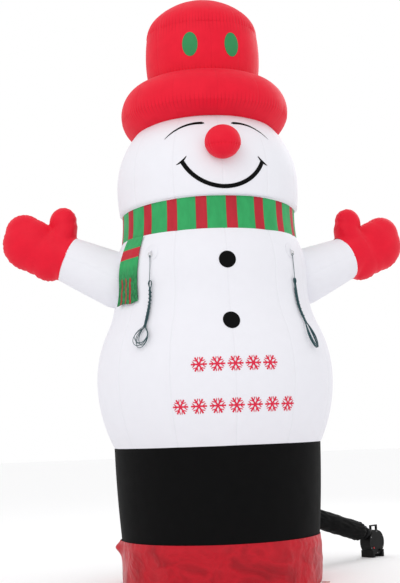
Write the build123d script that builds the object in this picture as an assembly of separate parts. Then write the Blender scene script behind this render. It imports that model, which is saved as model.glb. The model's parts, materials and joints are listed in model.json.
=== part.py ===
from build123d import *
import os
from math import acos, asin, atan2, cos, degrees, hypot, pi, radians, sin, sqrt, tan

# Inflatable snowman on a drum base, blown up by a fan on the ground behind it.
# Millimetres, +Z up, front towards -Y, origin on the ground at the middle of the base.
# "left" is the -X side, which is on the left for someone who faces the figure.
# An azimuth is counted from the front, and grows towards +X.

# ---- cloth ---------------------------------------------------------------------------
cloth = 2.0                  # every sewn skin
seam_gap = 0.3               # between two layers that lie on each other
patch_gap = 1.0              # under a patch that is sewn on a skin
patch_cloth = 2.5            # patches, buttons and the face

# ---- panels of the figure, from the ground up ----------------------------------------
skirt_height = 464.0
drum_height = 896.0
body_height = 2054.0
scarf_height = 321.0
head_low_rise = 255.0        # scarf to the widest level of the head
brim_rise = 780.0            # widest level of the head to the middle of the brim's roll
brim_seam_drop = 70.0        # brim's seam below the middle of the roll
crown_height = 510.0
crown_dome = 386.0
dome_shoulder_radius = 250.0

# ---- curves of the panels ------------------------------------------------------------
drum_foot_radius = 984.0
drum_middle_radius = 1018.0
drum_bottom_radius = 950.0   # hidden lower drum at the ground
belly_radius = 1186.0
belly_rise = 650.0           # drum to the widest level of the belly
belly_low_curve = 1466.0
waist_curve = 900.0
shoulder_drop = 364.0        # scarf down to the level of the widest shoulder
shoulder_radius = 985.0
shoulder_curve = 807.0
scarf_radius = 887.0         # halfway up the scarf
head_radius = 930.0
head_low_curve = 1550.0
head_top_curve = 827.0
brim_radius = 865.0
brim_low_curve = 278.0       # of the roll below its widest level
brim_high_curve = 316.0      # and above it
crown_foot_radius = 600.0
crown_middle_radius = 590.0
crown_top_radius = 575.0

# ---- skirt, floor, baffles -----------------------------------------------------------
skirt_cloth = 4.0
baffle_hole_radius = 150.0
baffle_hole_count = 6
baffle_hole_reach = 0.55     # of the baffle's radius

# ---- arms and mittens ----------------------------------------------------------------
arm_root_radius = 285.0
arm_cuff_radius = 230.0
arm_length = 557.0
arm_rise_left = 25.4         # degrees above level
arm_rise_right = 21.9
arm_sweep = 13.0             # degrees towards the back
arm_height = 3045.0
arm_inset = 33.0             # pivot of the arm inside the shoulder
arm_root_reach = 38.0        # degrees of the ball-shaped root inside the body
armhole_gap = 25.0
palm_reach = 306.0
palm_radius = 310.0
palm_half_depth = 220.0
heel_reach = 136.0
heel_radius = 285.0
heel_half_depth = 215.0
thumb_reach = 143.0
thumb_rise = 255.0
thumb_radius = 150.0
thumb_half_length = 235.0
thumb_lean = 62.0            # degrees from the arm's line
wrist_length = 200.0
wrist_end_radius = 200.0

# ---- face ----------------------------------------------------------------------------
nose_radius = 165.0
nose_height = 4213.0
nose_stand_off = 95.0        # middle of the nose in front of the head
smile_half_width = 376.0
smile_low = 3800.0
smile_rise = 280.0
smile_width = 40.0
tick_length = 116.0
tick_width = 26.0
tick_lean = 50.0
eye_inner = (133.0, 4478.0)  # sideways, height
eye_middle = (335.0, 4455.0)
eye_outer = (515.0, 4332.0)
eye_width = 26.0

# ---- buttons, hat dots, snowflakes ---------------------------------------------------
button_radius = 81.0
button_heights = (3100.0, 2516.0)
dot_half_width = 79.0
dot_half_height = 124.0
dot_height = 5350.0
dot_azimuth = 21.0
flake_radius = 74.0
flake_bar = 15.0
flake_barb = 26.0
upper_row = (5, 2108.0, 8.2) # how many, height, degrees apart
lower_row = (7, 1727.0, 8.6)

# ---- scarf tail ----------------------------------------------------------------------
tail_azimuth = -63.5
tail_width_angle = 16.0
tail_length = 632.0
tail_gap = 14.0
tail_cloth = 8.0
tail_drop = 6.0              # top edge below the scarf's seam

# ---- tethers -------------------------------------------------------------------------
tether_azimuths = (-45.0, 45.0, 135.0, -135.0)   # two in front, then two behind
tether_height = 3220.0
tether_patch_radius = 80.0
ring_radius = 20.0
ring_wire = 3.0
ring_gap = 0.3
ring_stand_off = 24.0        # skin to the middle of the ring's wire
tab_width, tab_height, tab_margin = 16.0, 22.0, 8.0
rope = 6.0
hitch_radius = 9.0
hank_width = 26.0
hank_thickness = 18.0
rope_seat = 2.0              # rope's end, above the lowest point of its hitch
# Outward and upward places along each rope, below the hitch and down to its hank.
drop_left = [(993.5, 3104.0), (999.0, 3040.0), (1001.0, 2950.0)]
drop_right = [(994.0, 3104.0), (1000.0, 3032.0), (1002.0, 2950.0)]
# The same along the middle of each hank. The first place carries on the drop's line.
hank_left = [(1003.0, 2860.0), (1010.0, 2770.0), (1033.0, 2672.0), (1068.0, 2580.0),
             (1104.0, 2500.0)]
hank_right = [(1004.0, 2868.0), (1011.0, 2780.0), (1030.0, 2690.0), (1060.0, 2606.0),
              (1100.0, 2516.0)]
# Length and width of the loops that hang open under each hank.
loops_left = (190.0, 140.0)
loops_right = (290.0, 100.0)

# ---- air sleeve and blower -----------------------------------------------------------
inlet_height = 690.0
inlet_direction = 36.2       # degrees from +X towards +Y
sleeve_radius = 102.5
sleeve_slope = 17.0
sleeve_taper = 90.0
sleeve_overlap = 55.0
strap_width, strap_thickness = 25.0, 2.5
buckle = (34.0, 38.0, 8.0)
fan_height = 168.0           # fan's axle above the ground
housing_radius = 135.0
housing_width = 140.0
housing_wall = 3.0
neck_radius = 64.0
neck_offset = 66.0           # middle of the outlet above the axle
neck_reach = 205.0
inlet_radius = 66.0
grille_wire = 4.0
grille_rings = (22.0, 40.0, 58.0, 76.0)
impeller_radius = 108.0
impeller_width = 62.0
impeller_hub = 17.0
impeller_plate = 2.5
blade_count = 20
blade_depth = 34.0
blade_thickness = 2.0
shaft_radius = 4.0
shaft_clearance = 0.05
motor_radius = 43.0
motor_length = 58.0
foot = (34.0, 170.0)         # along, across
foot_spread = 84.0
handle_width, handle_bar, handle_rise = 120.0, 14.0, 52.0
handle_depth = 26.0
handle_inset = 35.0          # behind the axle, clear of the outlet
screw_radius, screw_head_radius, screw_head = 2.0, 4.5, 2.5
screw_count = 6
gland_radius, gland_bore, gland_length = 11.0, 4.0, 22.0
switch_plate = (24.0, 32.0, 4.0)
rocker = (12.0, 19.0, 7.0)
rocker_gap = 0.6
rocker_tilt = 8.0

# ---- zip and ground tabs -------------------------------------------------------------
zip_azimuth = 180.0
zip_width = 60.0
zip_low_margin = 90.0
zip_high_margin = 110.0
zip_slider = (22.0, 9.0, 34.0)
zip_slider_gap = 4.5
zip_pull = (9.0, 2.5, 42.0)
ground_tab_count = 8
ground_tab = (56.0, 78.0, 3.0)
eyelet_radius, eyelet_flange, eyelet_wall = 7.0, 13.0, 1.5
eyelet_inset = 24.0


def circles_meet(first, first_radius, second, second_radius):
    """Outer of the two points where two circles in the (across, up) plane meet."""
    across, up = second[0] - first[0], second[1] - first[1]
    apart = hypot(across, up)
    along = (first_radius ** 2 - second_radius ** 2 + apart ** 2) / (2 * apart)
    aside = sqrt(first_radius ** 2 - along ** 2)
    options = []
    for side in (1, -1):
        options.append((first[0] + (along * across + side * aside * up) / apart,
                        first[1] + (along * up - side * aside * across) / apart))
    return max(options)


class Arc:
    """An arc of a meridian, bulging outwards (+1) or inwards (-1)."""

    def __init__(self, across, up, radius, bulge=1):
        self.across, self.up, self.radius, self.bulge = across, up, radius, bulge

    def reach(self, height, offset=0.0):
        radius = self.radius + self.bulge * offset
        return self.across + self.bulge * sqrt(radius ** 2 - (height - self.up) ** 2)


def meridian_arc(centre, radius, start, end):
    """Arc in the XZ plane; the angles are counted up from level."""
    angles = (start, (start + end) / 2, end)
    points = [(centre[0] + radius * cos(a), 0, centre[1] + radius * sin(a)) for a in angles]
    return Edge.make_three_point_arc(*points)


def turned(edges):
    """Solid turned about Z from a closed outline in the XZ plane."""
    return revolve(Face(Wire(edges)), axis=Axis.Z, revolution_arc=360)


def arc_through(low, middle, high):
    """The arc through three (across, up) points."""
    (x1, y1), (x2, y2), (x3, y3) = low, middle, high
    d = 2 * (x1 * (y2 - y3) + x2 * (y3 - y1) + x3 * (y1 - y2))
    s1, s2, s3 = x1 * x1 + y1 * y1, x2 * x2 + y2 * y2, x3 * x3 + y3 * y3
    across = (s1 * (y2 - y3) + s2 * (y3 - y1) + s3 * (y1 - y2)) / d
    up = (s1 * (x3 - x2) + s2 * (x1 - x3) + s3 * (x2 - x1)) / d
    bulge = 1 if x2 > across else -1
    return Arc(across, up, hypot(x1 - across, y1 - up), bulge)


class Panel:
    """A sewn panel of revolution: arcs from low to high, tangent where they join."""

    def __init__(self, low, high, arcs, joins=()):
        self.low, self.high, self.arcs, self.joins = low, high, arcs, joins

    def spans(self, offset, low, high):
        """(arc, from, to) for the stretch from low to high at an offset."""
        levels = [low]
        for arc, join in zip(self.arcs, self.joins):
            lean = arc.bulge * (join - arc.up) / arc.radius
            levels.append(min(max(join + lean * offset, low), high))
        levels.append(high)
        found = []
        for arc, start, end in zip(self.arcs, levels, levels[1:]):
            if end - start > 1e-6:
                found.append((arc, start, end))
        return found

    def reach(self, height, offset=0.0):
        """Radius of the panel at a height."""
        for arc, start, end in self.spans(offset, self.low, self.high):
            if height <= end + 1e-6:
                return arc.reach(height, offset)
        return arc.reach(height, offset)

    def edges(self, offset, low, high):
        found = []
        for arc, start, end in self.spans(offset, low, high):
            heights = (start, (start + end) / 2, end)
            found.append(Edge.make_three_point_arc(*[(arc.reach(h, offset), 0, h) for h in heights]))
        return found

    def shell(self, outer=0.0, inner=-cloth, low=None, high=None, turn=360.0, azimuth=0.0):
        """The cloth between two offsets, all round or over a turn about an azimuth."""
        low = self.low if low is None else low
        high = self.high if high is None else high
        skin, lining = self.edges(outer, low, high), self.edges(inner, low, high)
        caps = [Edge.make_line(skin[-1] @ 1, lining[-1] @ 1),
                Edge.make_line(lining[0] @ 0, skin[0] @ 0)]
        face = Face(Wire(skin + lining + caps))
        solid = revolve(face, axis=Axis.Z, revolution_arc=turn)
        return Rot(0, 0, azimuth - 90 - turn / 2) * solid

    def plug(self, offset=0.0):
        """Everything inside the panel."""
        skin = self.edges(offset, self.low, self.high)
        top, bottom = (0, 0, self.high), (0, 0, self.low)
        sides = [Edge.make_line(skin[-1] @ 1, top), Edge.make_line(top, bottom),
                 Edge.make_line(bottom, skin[0] @ 0)]
        return turned(skin + sides)


# ---- seams and panels worked out from the sizes above --------------------------------
drum_low = skirt_height
drum_high = drum_low + drum_height
scarf_low = drum_high + body_height
scarf_high = scarf_low + scarf_height
head_level = scarf_high + head_low_rise
brim_level = head_level + brim_rise
brim_seam = brim_level - brim_seam_drop

belly_level = drum_high + belly_rise
belly_low = Arc(belly_radius - belly_low_curve, belly_level, belly_low_curve)
belly_high = Arc(0.0, belly_level, belly_radius)
shoulder = Arc(shoulder_radius - shoulder_curve, scarf_low - shoulder_drop, shoulder_curve)
waist_across, waist_up = circles_meet((shoulder.across, shoulder.up), shoulder_curve + waist_curve,
                                      (0.0, belly_level), belly_radius + waist_curve)
waist = Arc(waist_across, waist_up, waist_curve, -1)


def level_between(arc, other):
    """Height where an outward arc runs into an inward one."""
    return arc.up + (other.up - arc.up) * arc.radius / (arc.radius + other.radius)


body = Panel(drum_high, scarf_low, [belly_low, belly_high, waist, shoulder],
             [belly_level, level_between(belly_high, waist), level_between(shoulder, waist)])

head_low = Arc(head_radius - head_low_curve, head_level, head_low_curve)
head_top = Arc(head_radius - head_top_curve, head_level, head_top_curve)
brim_low = Arc(brim_radius - brim_low_curve, brim_level, brim_low_curve)
brim_high = Arc(brim_radius - brim_high_curve, brim_level, brim_high_curve)
brim_join = circles_meet((head_top.across, head_top.up), head_top_curve,
                         (brim_low.across, brim_low.up), brim_low_curve)[1]
head = Panel(scarf_high, brim_join, [head_low, head_top], [head_level])
brim_under = Panel(brim_join, brim_seam, [brim_low])
crown_low = brim_level + sqrt(brim_high_curve ** 2 - (crown_foot_radius - brim_high.across) ** 2)
brim_top = Panel(brim_seam, crown_low, [brim_low, brim_high], [brim_level])
crown_high = crown_low + crown_height
crown = Panel(crown_low, crown_high, [arc_through(
    (crown_foot_radius, crown_low), (crown_middle_radius, (crown_low + crown_high) / 2),
    (crown_top_radius, crown_high))])
scarf = Panel(scarf_low, scarf_high, [arc_through(
    (body.reach(scarf_low), scarf_low), (scarf_radius, (scarf_low + scarf_high) / 2),
    (head.reach(scarf_high), scarf_high))])
drum = Panel(drum_low, drum_high, [arc_through(
    (drum_foot_radius, drum_low), (drum_middle_radius, (drum_low + drum_high) / 2),
    (body.reach(drum_high), drum_high))])


def outward(azimuth):
    """Level direction away from the axis at an azimuth."""
    return Vector(sin(radians(azimuth)), -cos(radians(azimuth)), 0)


def facing(azimuth, across, height):
    """Plane that looks outwards at an azimuth, with its y axis up."""
    direction = outward(azimuth)
    side = Vector(cos(radians(azimuth)), sin(radians(azimuth)), 0)
    return Plane(origin=direction * across + Vector(0, 0, height), x_dir=side, z_dir=direction)


def through_skin(panel, azimuth, height, sketch):
    """A patch: the sketch, carried square through the skin onto its outer face."""
    depth = 0.45 * panel.reach(height)
    plane = facing(azimuth, panel.reach(height) + depth / 3, height)
    prism = extrude(plane * sketch, amount=-depth)
    return prism & panel.shell(patch_gap + patch_cloth, patch_gap)


parts = {}


# ---- figure: floor, skirt and panels -------------------------------------------------
def ring_between(low_radius, low, high_radius, high, thickness):
    """A straight-sided ring of cloth whose outer face has these radii."""
    points = [(low_radius, 0, low), (high_radius, 0, high),
              (high_radius - thickness, 0, high), (low_radius - thickness, 0, low)]
    return revolve(Face(Wire.make_polygon(points)), axis=Axis.Z, revolution_arc=360)


def disc(radius, height, thickness):
    return Pos(0, 0, height) * Cylinder(radius, thickness, align=(Align.CENTER, Align.CENTER, Align.MIN))


def baffle(radius, height):
    """A disc across the figure that holds a waist in, with holes that let the air rise."""
    plate = disc(radius, height, cloth)
    for step in range(baffle_hole_count):
        turn = 2 * pi * step / baffle_hole_count
        reach = baffle_hole_reach * radius
        plate -= Pos(reach * cos(turn), reach * sin(turn), height) * Cylinder(baffle_hole_radius, 4 * cloth)
    return plate


parts["base_floor"] = disc(drum_bottom_radius - cloth - seam_gap, 0, cloth)
parts["lower_drum"] = ring_between(drum_bottom_radius, 0, drum_foot_radius, drum_low, cloth)
skirt_radius = drum_foot_radius + seam_gap + skirt_cloth
parts["ground_skirt"] = ring_between(skirt_radius, 0, skirt_radius, drum_low, skirt_cloth)
parts["scarf_band"] = scarf.shell()
parts["head_skin"] = head.shell()
parts["brim_under"] = brim_under.shell()
parts["brim_top"] = brim_top.shell()
parts["crown_side"] = crown.shell()
parts["neck_baffle"] = baffle(scarf.reach(scarf_high) - cloth - seam_gap - 1, scarf_high - cloth)
parts["brim_baffle"] = baffle(head.reach(brim_join) - 2 * cloth - seam_gap, brim_join - cloth)


def dome(radius, rise, shoulder_radius):
    """Cap of cloth on the ground plane: a tight arc up from the rim, then a wide one."""
    inset = radius - shoulder_radius
    wide = (inset ** 2 + rise ** 2 - shoulder_radius ** 2) / (2 * (rise - shoulder_radius))
    lean = atan2(wide - rise, inset)

    def side(inside):
        return [meridian_arc((inset, 0), shoulder_radius - inside, 0, lean),
                meridian_arc((0, rise - wide), wide - inside, lean, pi / 2)]

    skin, lining = side(0), side(cloth)
    caps = [Edge.make_line(skin[1] @ 1, lining[1] @ 1), Edge.make_line(lining[0] @ 0, skin[0] @ 0)]
    return turned(skin + lining + caps)


parts["crown_top"] = Pos(0, 0, crown_high) * dome(crown_top_radius, crown_dome, dome_shoulder_radius)


# ---- arms and mittens ----------------------------------------------------------------
arm_across = body.reach(arm_height) - arm_inset


def arm_frame(side, rise):
    """Frame at an arm's pivot: z along the arm, y up across it; side is 1 right, -1 left."""
    sweep, rise = radians(arm_sweep), radians(rise)
    return Plane(origin=(side * arm_across, 0, arm_height), x_dir=(-sin(sweep), side * cos(sweep), 0),
                 z_dir=(side * cos(sweep) * cos(rise), sin(sweep) * cos(rise), sin(rise)))


def arm_skin():
    """Ball-shaped root about the pivot, then a cone tangent to it up to the cuff."""
    corner = hypot(arm_cuff_radius, arm_length)
    lean = atan2(arm_length, arm_cuff_radius) - acos(arm_root_radius / corner)

    def side(radius):
        root = meridian_arc((0, 0), radius, -radians(arm_root_reach), lean)
        cuff = ((radius - arm_length * sin(lean)) / cos(lean), 0, arm_length)
        return [root, Edge.make_line(root @ 1, cuff)]

    outer, inner = side(arm_root_radius), side(arm_root_radius - cloth)
    caps = [Edge.make_line(outer[1] @ 1, inner[1] @ 1), Edge.make_line(inner[0] @ 0, outer[0] @ 0)]
    return turned(outer + inner + caps)


def lens(rim, half_depth, shrink):
    """Two bulging panels sewn together at a round rim; the depth is along X."""
    ball = (rim ** 2 + half_depth ** 2) / (2 * half_depth)
    inset = ball - half_depth
    ball -= shrink
    lean = asin(inset / ball)
    near = meridian_arc((0, -inset), ball, lean, pi / 2)
    far = meridian_arc((0, inset), ball, -pi / 2, -lean)
    return Rot(0, 90, 0) * turned([near, Edge.make_line(near @ 1, far @ 0), far])


def mitten_form(shrink):
    """Palm, heel, thumb and wrist in the arm's frame, whose y axis is up across the arm."""
    reach = 4 * palm_radius
    beyond_cuff = Pos(0, 0, arm_length + reach / 2) * Box(reach, reach, reach)
    palm = Pos(0, 0, arm_length + palm_reach) * lens(palm_radius, palm_half_depth, shrink)
    heel = Pos(0, 0, arm_length + heel_reach) * lens(heel_radius, heel_half_depth, shrink)
    stem = thumb_half_length - thumb_radius
    thumb = Pos(0, 0, stem) * Sphere(thumb_radius - shrink)
    thumb += Cylinder(thumb_radius - shrink, 2 * stem) + Pos(0, 0, -stem) * Sphere(thumb_radius - shrink)
    thumb = Pos(0, thumb_rise, arm_length + thumb_reach) * Rot(-thumb_lean, 0, 0) * thumb
    wrist = Pos(0, 0, arm_length) * Cone(arm_cuff_radius - shrink, wrist_end_radius - shrink,
                                         wrist_length, align=(Align.CENTER, Align.CENTER, Align.MIN))
    return (palm & beyond_cuff) + (heel & beyond_cuff) + wrist + (thumb & beyond_cuff)


def mitten_skin():
    return mitten_form(0) - mitten_form(cloth)


body_skin = body.shell()
for name, side, rise in (("left", -1, arm_rise_left), ("right", 1, arm_rise_right)):
    parts["arm_" + name] = arm_frame(side, rise) * arm_skin()
    parts["mitten_" + name] = arm_frame(side, rise) * mitten_skin()
    body_skin -= Pos(side * arm_across, 0, arm_height) * Sphere(arm_root_radius + armhole_gap)
parts["body_skin"] = body_skin


# ---- face ----------------------------------------------------------------------------
def band(arc_points, width):
    """Flat ribbon of a width along the arc through three points."""
    return trace(ThreePointArc(*arc_points), line_width=width)


def nose():
    centre = head.reach(nose_height) + nose_stand_off
    ball = Sphere(nose_radius) - Sphere(nose_radius - cloth)
    return Pos(0, -centre, nose_height) * ball - head.plug(seam_gap)


def smile():
    level = smile_low + smile_rise
    ends = [(-smile_half_width, smile_rise), (0, 0), (smile_half_width, smile_rise)]
    shape = band(ends, smile_width)
    for side in (-1, 1):
        tick = Rot(0, 0, side * -tick_lean) * Rectangle(tick_length, tick_width)
        shape += Pos(side * smile_half_width, smile_rise) * tick
    return through_skin(head, 0, level, Pos(0, -smile_rise) * shape)


def eye(side):
    level = eye_middle[1]
    points = [(side * x, z - level) for x, z in (eye_inner, eye_middle, eye_outer)]
    return through_skin(head, 0, level, band(points, eye_width))


parts["nose_ball"] = nose()
parts["smile"] = smile()
parts["eye_left"], parts["eye_right"] = eye(-1), eye(1)

# ---- buttons, hat dots, snowflakes ---------------------------------------------------
for name, height in zip(("button_upper", "button_lower"), button_heights):
    parts[name] = through_skin(body, 0, height, Circle(button_radius))
for name, azimuth in (("hat_dot_left", -dot_azimuth), ("hat_dot_right", dot_azimuth)):
    parts[name] = through_skin(crown, azimuth, dot_height, Ellipse(dot_half_width, dot_half_height))


def snowflake():
    """Six arms, each with a pair of barbs."""
    arm = Pos(0, flake_radius / 2) * Rectangle(flake_bar, flake_radius)
    for lean in (-50, 50):
        arm += Pos(0, 0.56 * flake_radius) * Rot(0, 0, lean) * Pos(0, flake_barb / 2) * Rectangle(
            0.7 * flake_bar, flake_barb)
    flake = Circle(flake_bar)
    for step in range(6):
        flake += Rot(0, 0, 60 * step) * arm
    return flake


def snowflake_row(count, height, apart):
    flakes = []
    for step in range(count):
        azimuth = (step - (count - 1) / 2) * apart
        flakes += through_skin(body, azimuth, height, snowflake()).solids()
    return Compound(flakes)


parts["snowflakes_upper"] = snowflake_row(*upper_row)
parts["snowflakes_lower"] = snowflake_row(*lower_row)

# ---- scarf tail ----------------------------------------------------------------------
parts["scarf_tail"] = body.shell(tail_gap + tail_cloth, tail_gap, scarf_low - tail_drop - tail_length,
                                 scarf_low - tail_drop, tail_width_angle, tail_azimuth)


# ---- tethers -------------------------------------------------------------------------
ring_across = body.reach(tether_height) + ring_stand_off
ring_level = tether_height - ring_radius
patch_face = patch_gap + patch_cloth + seam_gap


def tether_tab(azimuth):
    """Sewn tab that holds the top of the ring off the patch."""
    place = facing(azimuth, ring_across + tab_margin, tether_height)
    tab = place * Pos(0, 0, -ring_stand_off) * Box(tab_width, tab_height, 2 * ring_stand_off)
    tab -= facing(azimuth, ring_across, ring_level) * Torus(ring_radius, ring_wire + ring_gap)
    return tab - body.plug(patch_face)


patches, tabs, rings = [], [], []
for azimuth in tether_azimuths:
    patches += through_skin(body, azimuth, tether_height, Circle(tether_patch_radius)).solids()
    tabs += tether_tab(azimuth).solids()
    ring = facing(azimuth, ring_across, ring_level) * Torus(ring_radius, ring_wire)
    rings += ring.solids()
parts["tether_patches"] = Compound(patches)
parts["tether_tabs"] = Compound(tabs)
parts["tether_rings"] = Compound(rings)


def route(azimuth, places):
    """Points in space for (outward, up) places at an azimuth."""
    return [outward(azimuth) * across + Vector(0, 0, up) for across, up in places]


def cord_path(points):
    """Straight runs joined by the largest arcs that they have room for, and the radii."""
    radii = []
    for before, here, after in zip(points, points[1:], points[2:]):
        turn = radians((here - before).get_angle(after - here))
        shorter = min((here - before).length, (after - here).length)
        radii.append(0.45 * shorter / tan(turn / 2))
    return FilletPolyline(*points, radius=radii), radii


def tube(name, azimuth, places, thickness):
    points = route(azimuth, places)
    path, radii = cord_path(points)
    start = Plane(origin=path @ 0, z_dir=path % 0)
    solid = sweep(start * Circle(thickness / 2), path=path)
    section = pi * thickness ** 2 / 4
    print(name, "radii", [round(r) for r in radii], "length", round(path.length),
          "volume / (section x length)", round(solid.volume / (section * path.length), 4))
    return solid


def hank(azimuth, places, loops):
    """Bound bundle, then a flat fan of open loops that carries on down the belly."""
    points = route(azimuth, places)
    path, _ = cord_path(points)
    start = Plane(origin=path @ 0, x_dir=facing(azimuth, 0, 0).x_dir, z_dir=path % 0)
    bundle = sweep(start * Ellipse(hank_width / 2, hank_thickness / 2), path=path)
    length, width = loops
    side = facing(azimuth, 0, 0).x_dir
    down = path % 1
    flat = Plane(origin=path @ 1, x_dir=side, z_dir=side.cross(down))
    outline = Polyline((-hank_width / 2, 0), (-width / 2, 0.72 * length), (-width / 4, length),
                       (width / 4, length), (width / 2, 0.72 * length), (hank_width / 2, 0),
                       close=True)
    fan = extrude(flat * make_face(outline), amount=hank_thickness / 2, both=True)
    return bundle, fan


for side, azimuth, drop, winding, loops in (
        ("left", tether_azimuths[0], drop_left, hank_left, loops_left),
        ("right", tether_azimuths[1], drop_right, hank_right, loops_right)):
    hitch_place = facing(azimuth, ring_across, ring_level - ring_radius) * Rot(0, 90, 0)
    hitch = hitch_place * Torus(hitch_radius, rope / 2)
    rope_end = ring_level - ring_radius - hitch_radius - rope / 2 + rope_seat
    line = tube("tether_line_" + side, azimuth, [(ring_across, rope_end)] + drop, rope)
    parts["tether_hitch_" + side] = hitch
    parts["tether_line_" + side] = line - hitch
    bundle, fan = hank(azimuth, [drop[-1]] + winding, loops)
    parts["tether_hank_" + side] = bundle + fan

# ---- air sleeve ----------------------------------------------------------------------
# The sleeve and the blower's outlet share one sloping line, which meets the drum at
# inlet_height. Places along it are counted from abreast of the fan's axle.
slope = radians(sleeve_slope)
sleeve_end = (inlet_height - fan_height - neck_offset * cos(slope)) / sin(slope)
inlet_across = drum.reach(inlet_height)
fan_across = inlet_across + sleeve_end * cos(slope) - neck_offset * sin(slope)
heading = radians(inlet_direction)
blower = Plane(origin=(fan_across * cos(heading), fan_across * sin(heading), 0),
               x_dir=(-cos(heading), -sin(heading), 0), z_dir=(0, 0, 1))
# In the blower's own frame +X points at the figure and Y is along the fan's axle.
axle = Pos(0, 0, fan_height)
outlet_line = axle * Rot(0, -sleeve_slope, 0) * Pos(0, 0, neck_offset) * Rot(0, 90, 0)


def along_outlet(start, end, start_radius, end_radius):
    """Cone on the outlet's line between two places."""
    if start_radius == end_radius:
        solid = Cylinder(start_radius, end - start, align=(Align.CENTER, Align.CENTER, Align.MIN))
    else:
        solid = Cone(start_radius, end_radius, end - start,
                     align=(Align.CENTER, Align.CENTER, Align.MIN))
    return outlet_line * Pos(0, 0, start) * solid


def sleeve_form(shrink):
    grip = neck_radius + seam_gap + cloth - shrink
    full = sleeve_radius - shrink
    start = neck_reach - sleeve_overlap
    form = along_outlet(start, neck_reach, grip, grip)
    form += along_outlet(neck_reach, neck_reach + sleeve_taper, grip, full)
    return form + along_outlet(neck_reach + sleeve_taper, sleeve_end + 2 * sleeve_radius, full, full)


sleeve = blower * (sleeve_form(0) - sleeve_form(cloth))
parts["inlet_sleeve"] = sleeve - drum.plug()
air_hole = blower * along_outlet(sleeve_end - 2 * sleeve_radius, sleeve_end + 2 * sleeve_radius,
                                 sleeve_radius - cloth, sleeve_radius - cloth)
parts["base_drum"] = drum.shell() - air_hole

strap_start = neck_reach - sleeve_overlap / 2 - strap_width / 2
strap_radius = neck_radius + 2 * seam_gap + cloth
strap = along_outlet(strap_start, strap_start + strap_width, strap_radius + strap_thickness,
                     strap_radius + strap_thickness)
strap -= along_outlet(strap_start, strap_start + strap_width, strap_radius, strap_radius)
parts["sleeve_strap"] = blower * strap
buckle_place = outlet_line * Pos(-(strap_radius + strap_thickness + seam_gap + buckle[2] / 2), 0,
                                 strap_start + strap_width / 2)
parts["strap_buckle"] = blower * (buckle_place * Box(buckle[2], buckle[1], buckle[0]))


# ---- blower --------------------------------------------------------------------------
def drum_on_axle(radius, width):
    return axle * Rot(90, 0, 0) * Cylinder(radius, width)


def across_axle(radius, start, end):
    """Cylinder along the axle from one y to another."""
    return axle * Pos(0, (start + end) / 2, 0) * Rot(90, 0, 0) * Cylinder(radius, end - start)


def housing():
    form = drum_on_axle(housing_radius, housing_width) + along_outlet(0, neck_reach, neck_radius, neck_radius)
    hollow = drum_on_axle(housing_radius - housing_wall, housing_width - 2 * housing_wall)
    hollow += along_outlet(0, neck_reach, neck_radius - housing_wall, neck_radius - housing_wall)
    shell = form - hollow
    return shell - across_axle(inlet_radius, -housing_width, -housing_width / 2 + 2 * housing_wall)


front_face, back_face = -housing_width / 2, housing_width / 2
motor_start = back_face - housing_wall - motor_length
half_space = Pos(0, -housing_width, fan_height) * Box(8 * housing_radius, 2 * housing_width, 8 * housing_radius)
housing_solid = housing()
parts["housing_front"] = blower * (housing_solid & half_space)
back_half = housing_solid - half_space


def screw_places():
    reach = housing_radius - 14
    return [(reach * cos(radians(a)), reach * sin(radians(a)))
            for a in [30 + 360 * n / screw_count for n in range(screw_count)]]


gland_place = Pos(-40, back_face, fan_height - 92) * Rot(-90, 0, 0)
back_half -= gland_place * Cylinder(gland_bore, 4 * housing_wall)
switch_place = Pos(70, back_face, fan_height - 60) * Rot(-90, 0, 0)
screws = []
for x, z in screw_places():
    place = Pos(x, back_face, fan_height + z) * Rot(-90, 0, 0)
    stem = place * Pos(0, 0, -2 * housing_wall) * Cylinder(
        screw_radius, 2 * housing_wall, align=(Align.CENTER, Align.CENTER, Align.MIN))
    back_half -= place * Cylinder(screw_radius, 4 * housing_wall)
    top = place * Cylinder(screw_head_radius, screw_head, align=(Align.CENTER, Align.CENTER, Align.MIN))
    screws += (blower * (stem + top)).solids()
parts["housing_back"] = blower * back_half
parts["housing_screws"] = Compound(screws)


def grille():
    """Guard over the inlet: rings on spokes, in front of the housing."""
    place = axle * Pos(0, front_face - grille_wire / 2, 0) * Rot(90, 0, 0)
    guard = Cylinder(grille_rings[0] - 6, grille_wire)
    for radius in grille_rings:
        guard += Cylinder(radius + grille_wire / 2, grille_wire) - Cylinder(
            radius - grille_wire / 2, 2 * grille_wire)
    for step in range(4):
        guard += Rot(0, 0, 45 * step) * Box(2 * grille_rings[-1], grille_wire, grille_wire)
    return place * guard


def impeller():
    """Back plate and hub with a ring of blades and a front ring."""
    start = motor_start - 6 - impeller_width
    end = motor_start - 6
    wheel = across_axle(impeller_radius, end - impeller_plate, end)
    wheel += across_axle(impeller_hub, end - 24, end)
    wheel += across_axle(impeller_radius, start, start + impeller_plate) - across_axle(
        impeller_radius - blade_depth, start - 1, start + 2 * impeller_plate)
    blade = Pos(impeller_radius - blade_depth / 2, (start + end) / 2, 0) * Box(
        blade_depth - 4, impeller_width - impeller_plate, blade_thickness)
    for step in range(blade_count):
        wheel += axle * Rot(0, 360 * step / blade_count, 0) * blade
    return wheel - across_axle(shaft_radius, start - 1, end + 1)


parts["inlet_grille"] = blower * grille()
parts["impeller"] = blower * impeller()
shaft_start = motor_start - 6 - 30
parts["motor_shaft"] = blower * across_axle(shaft_radius, shaft_start, motor_start + motor_length - 12)
motor = across_axle(motor_radius, motor_start, motor_start + motor_length)
motor -= across_axle(shaft_radius + shaft_clearance, motor_start - 1, motor_start + motor_length - 10)
parts["motor"] = blower * motor

feet = []
for side in (-1, 1):
    block = Pos(side * foot_spread, 0, fan_height / 2) * Box(foot[0], foot[1], fan_height)
    feet += (blower * (block - drum_on_axle(housing_radius, 2 * housing_width))).solids()
parts["blower_feet"] = Compound(feet)

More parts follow.
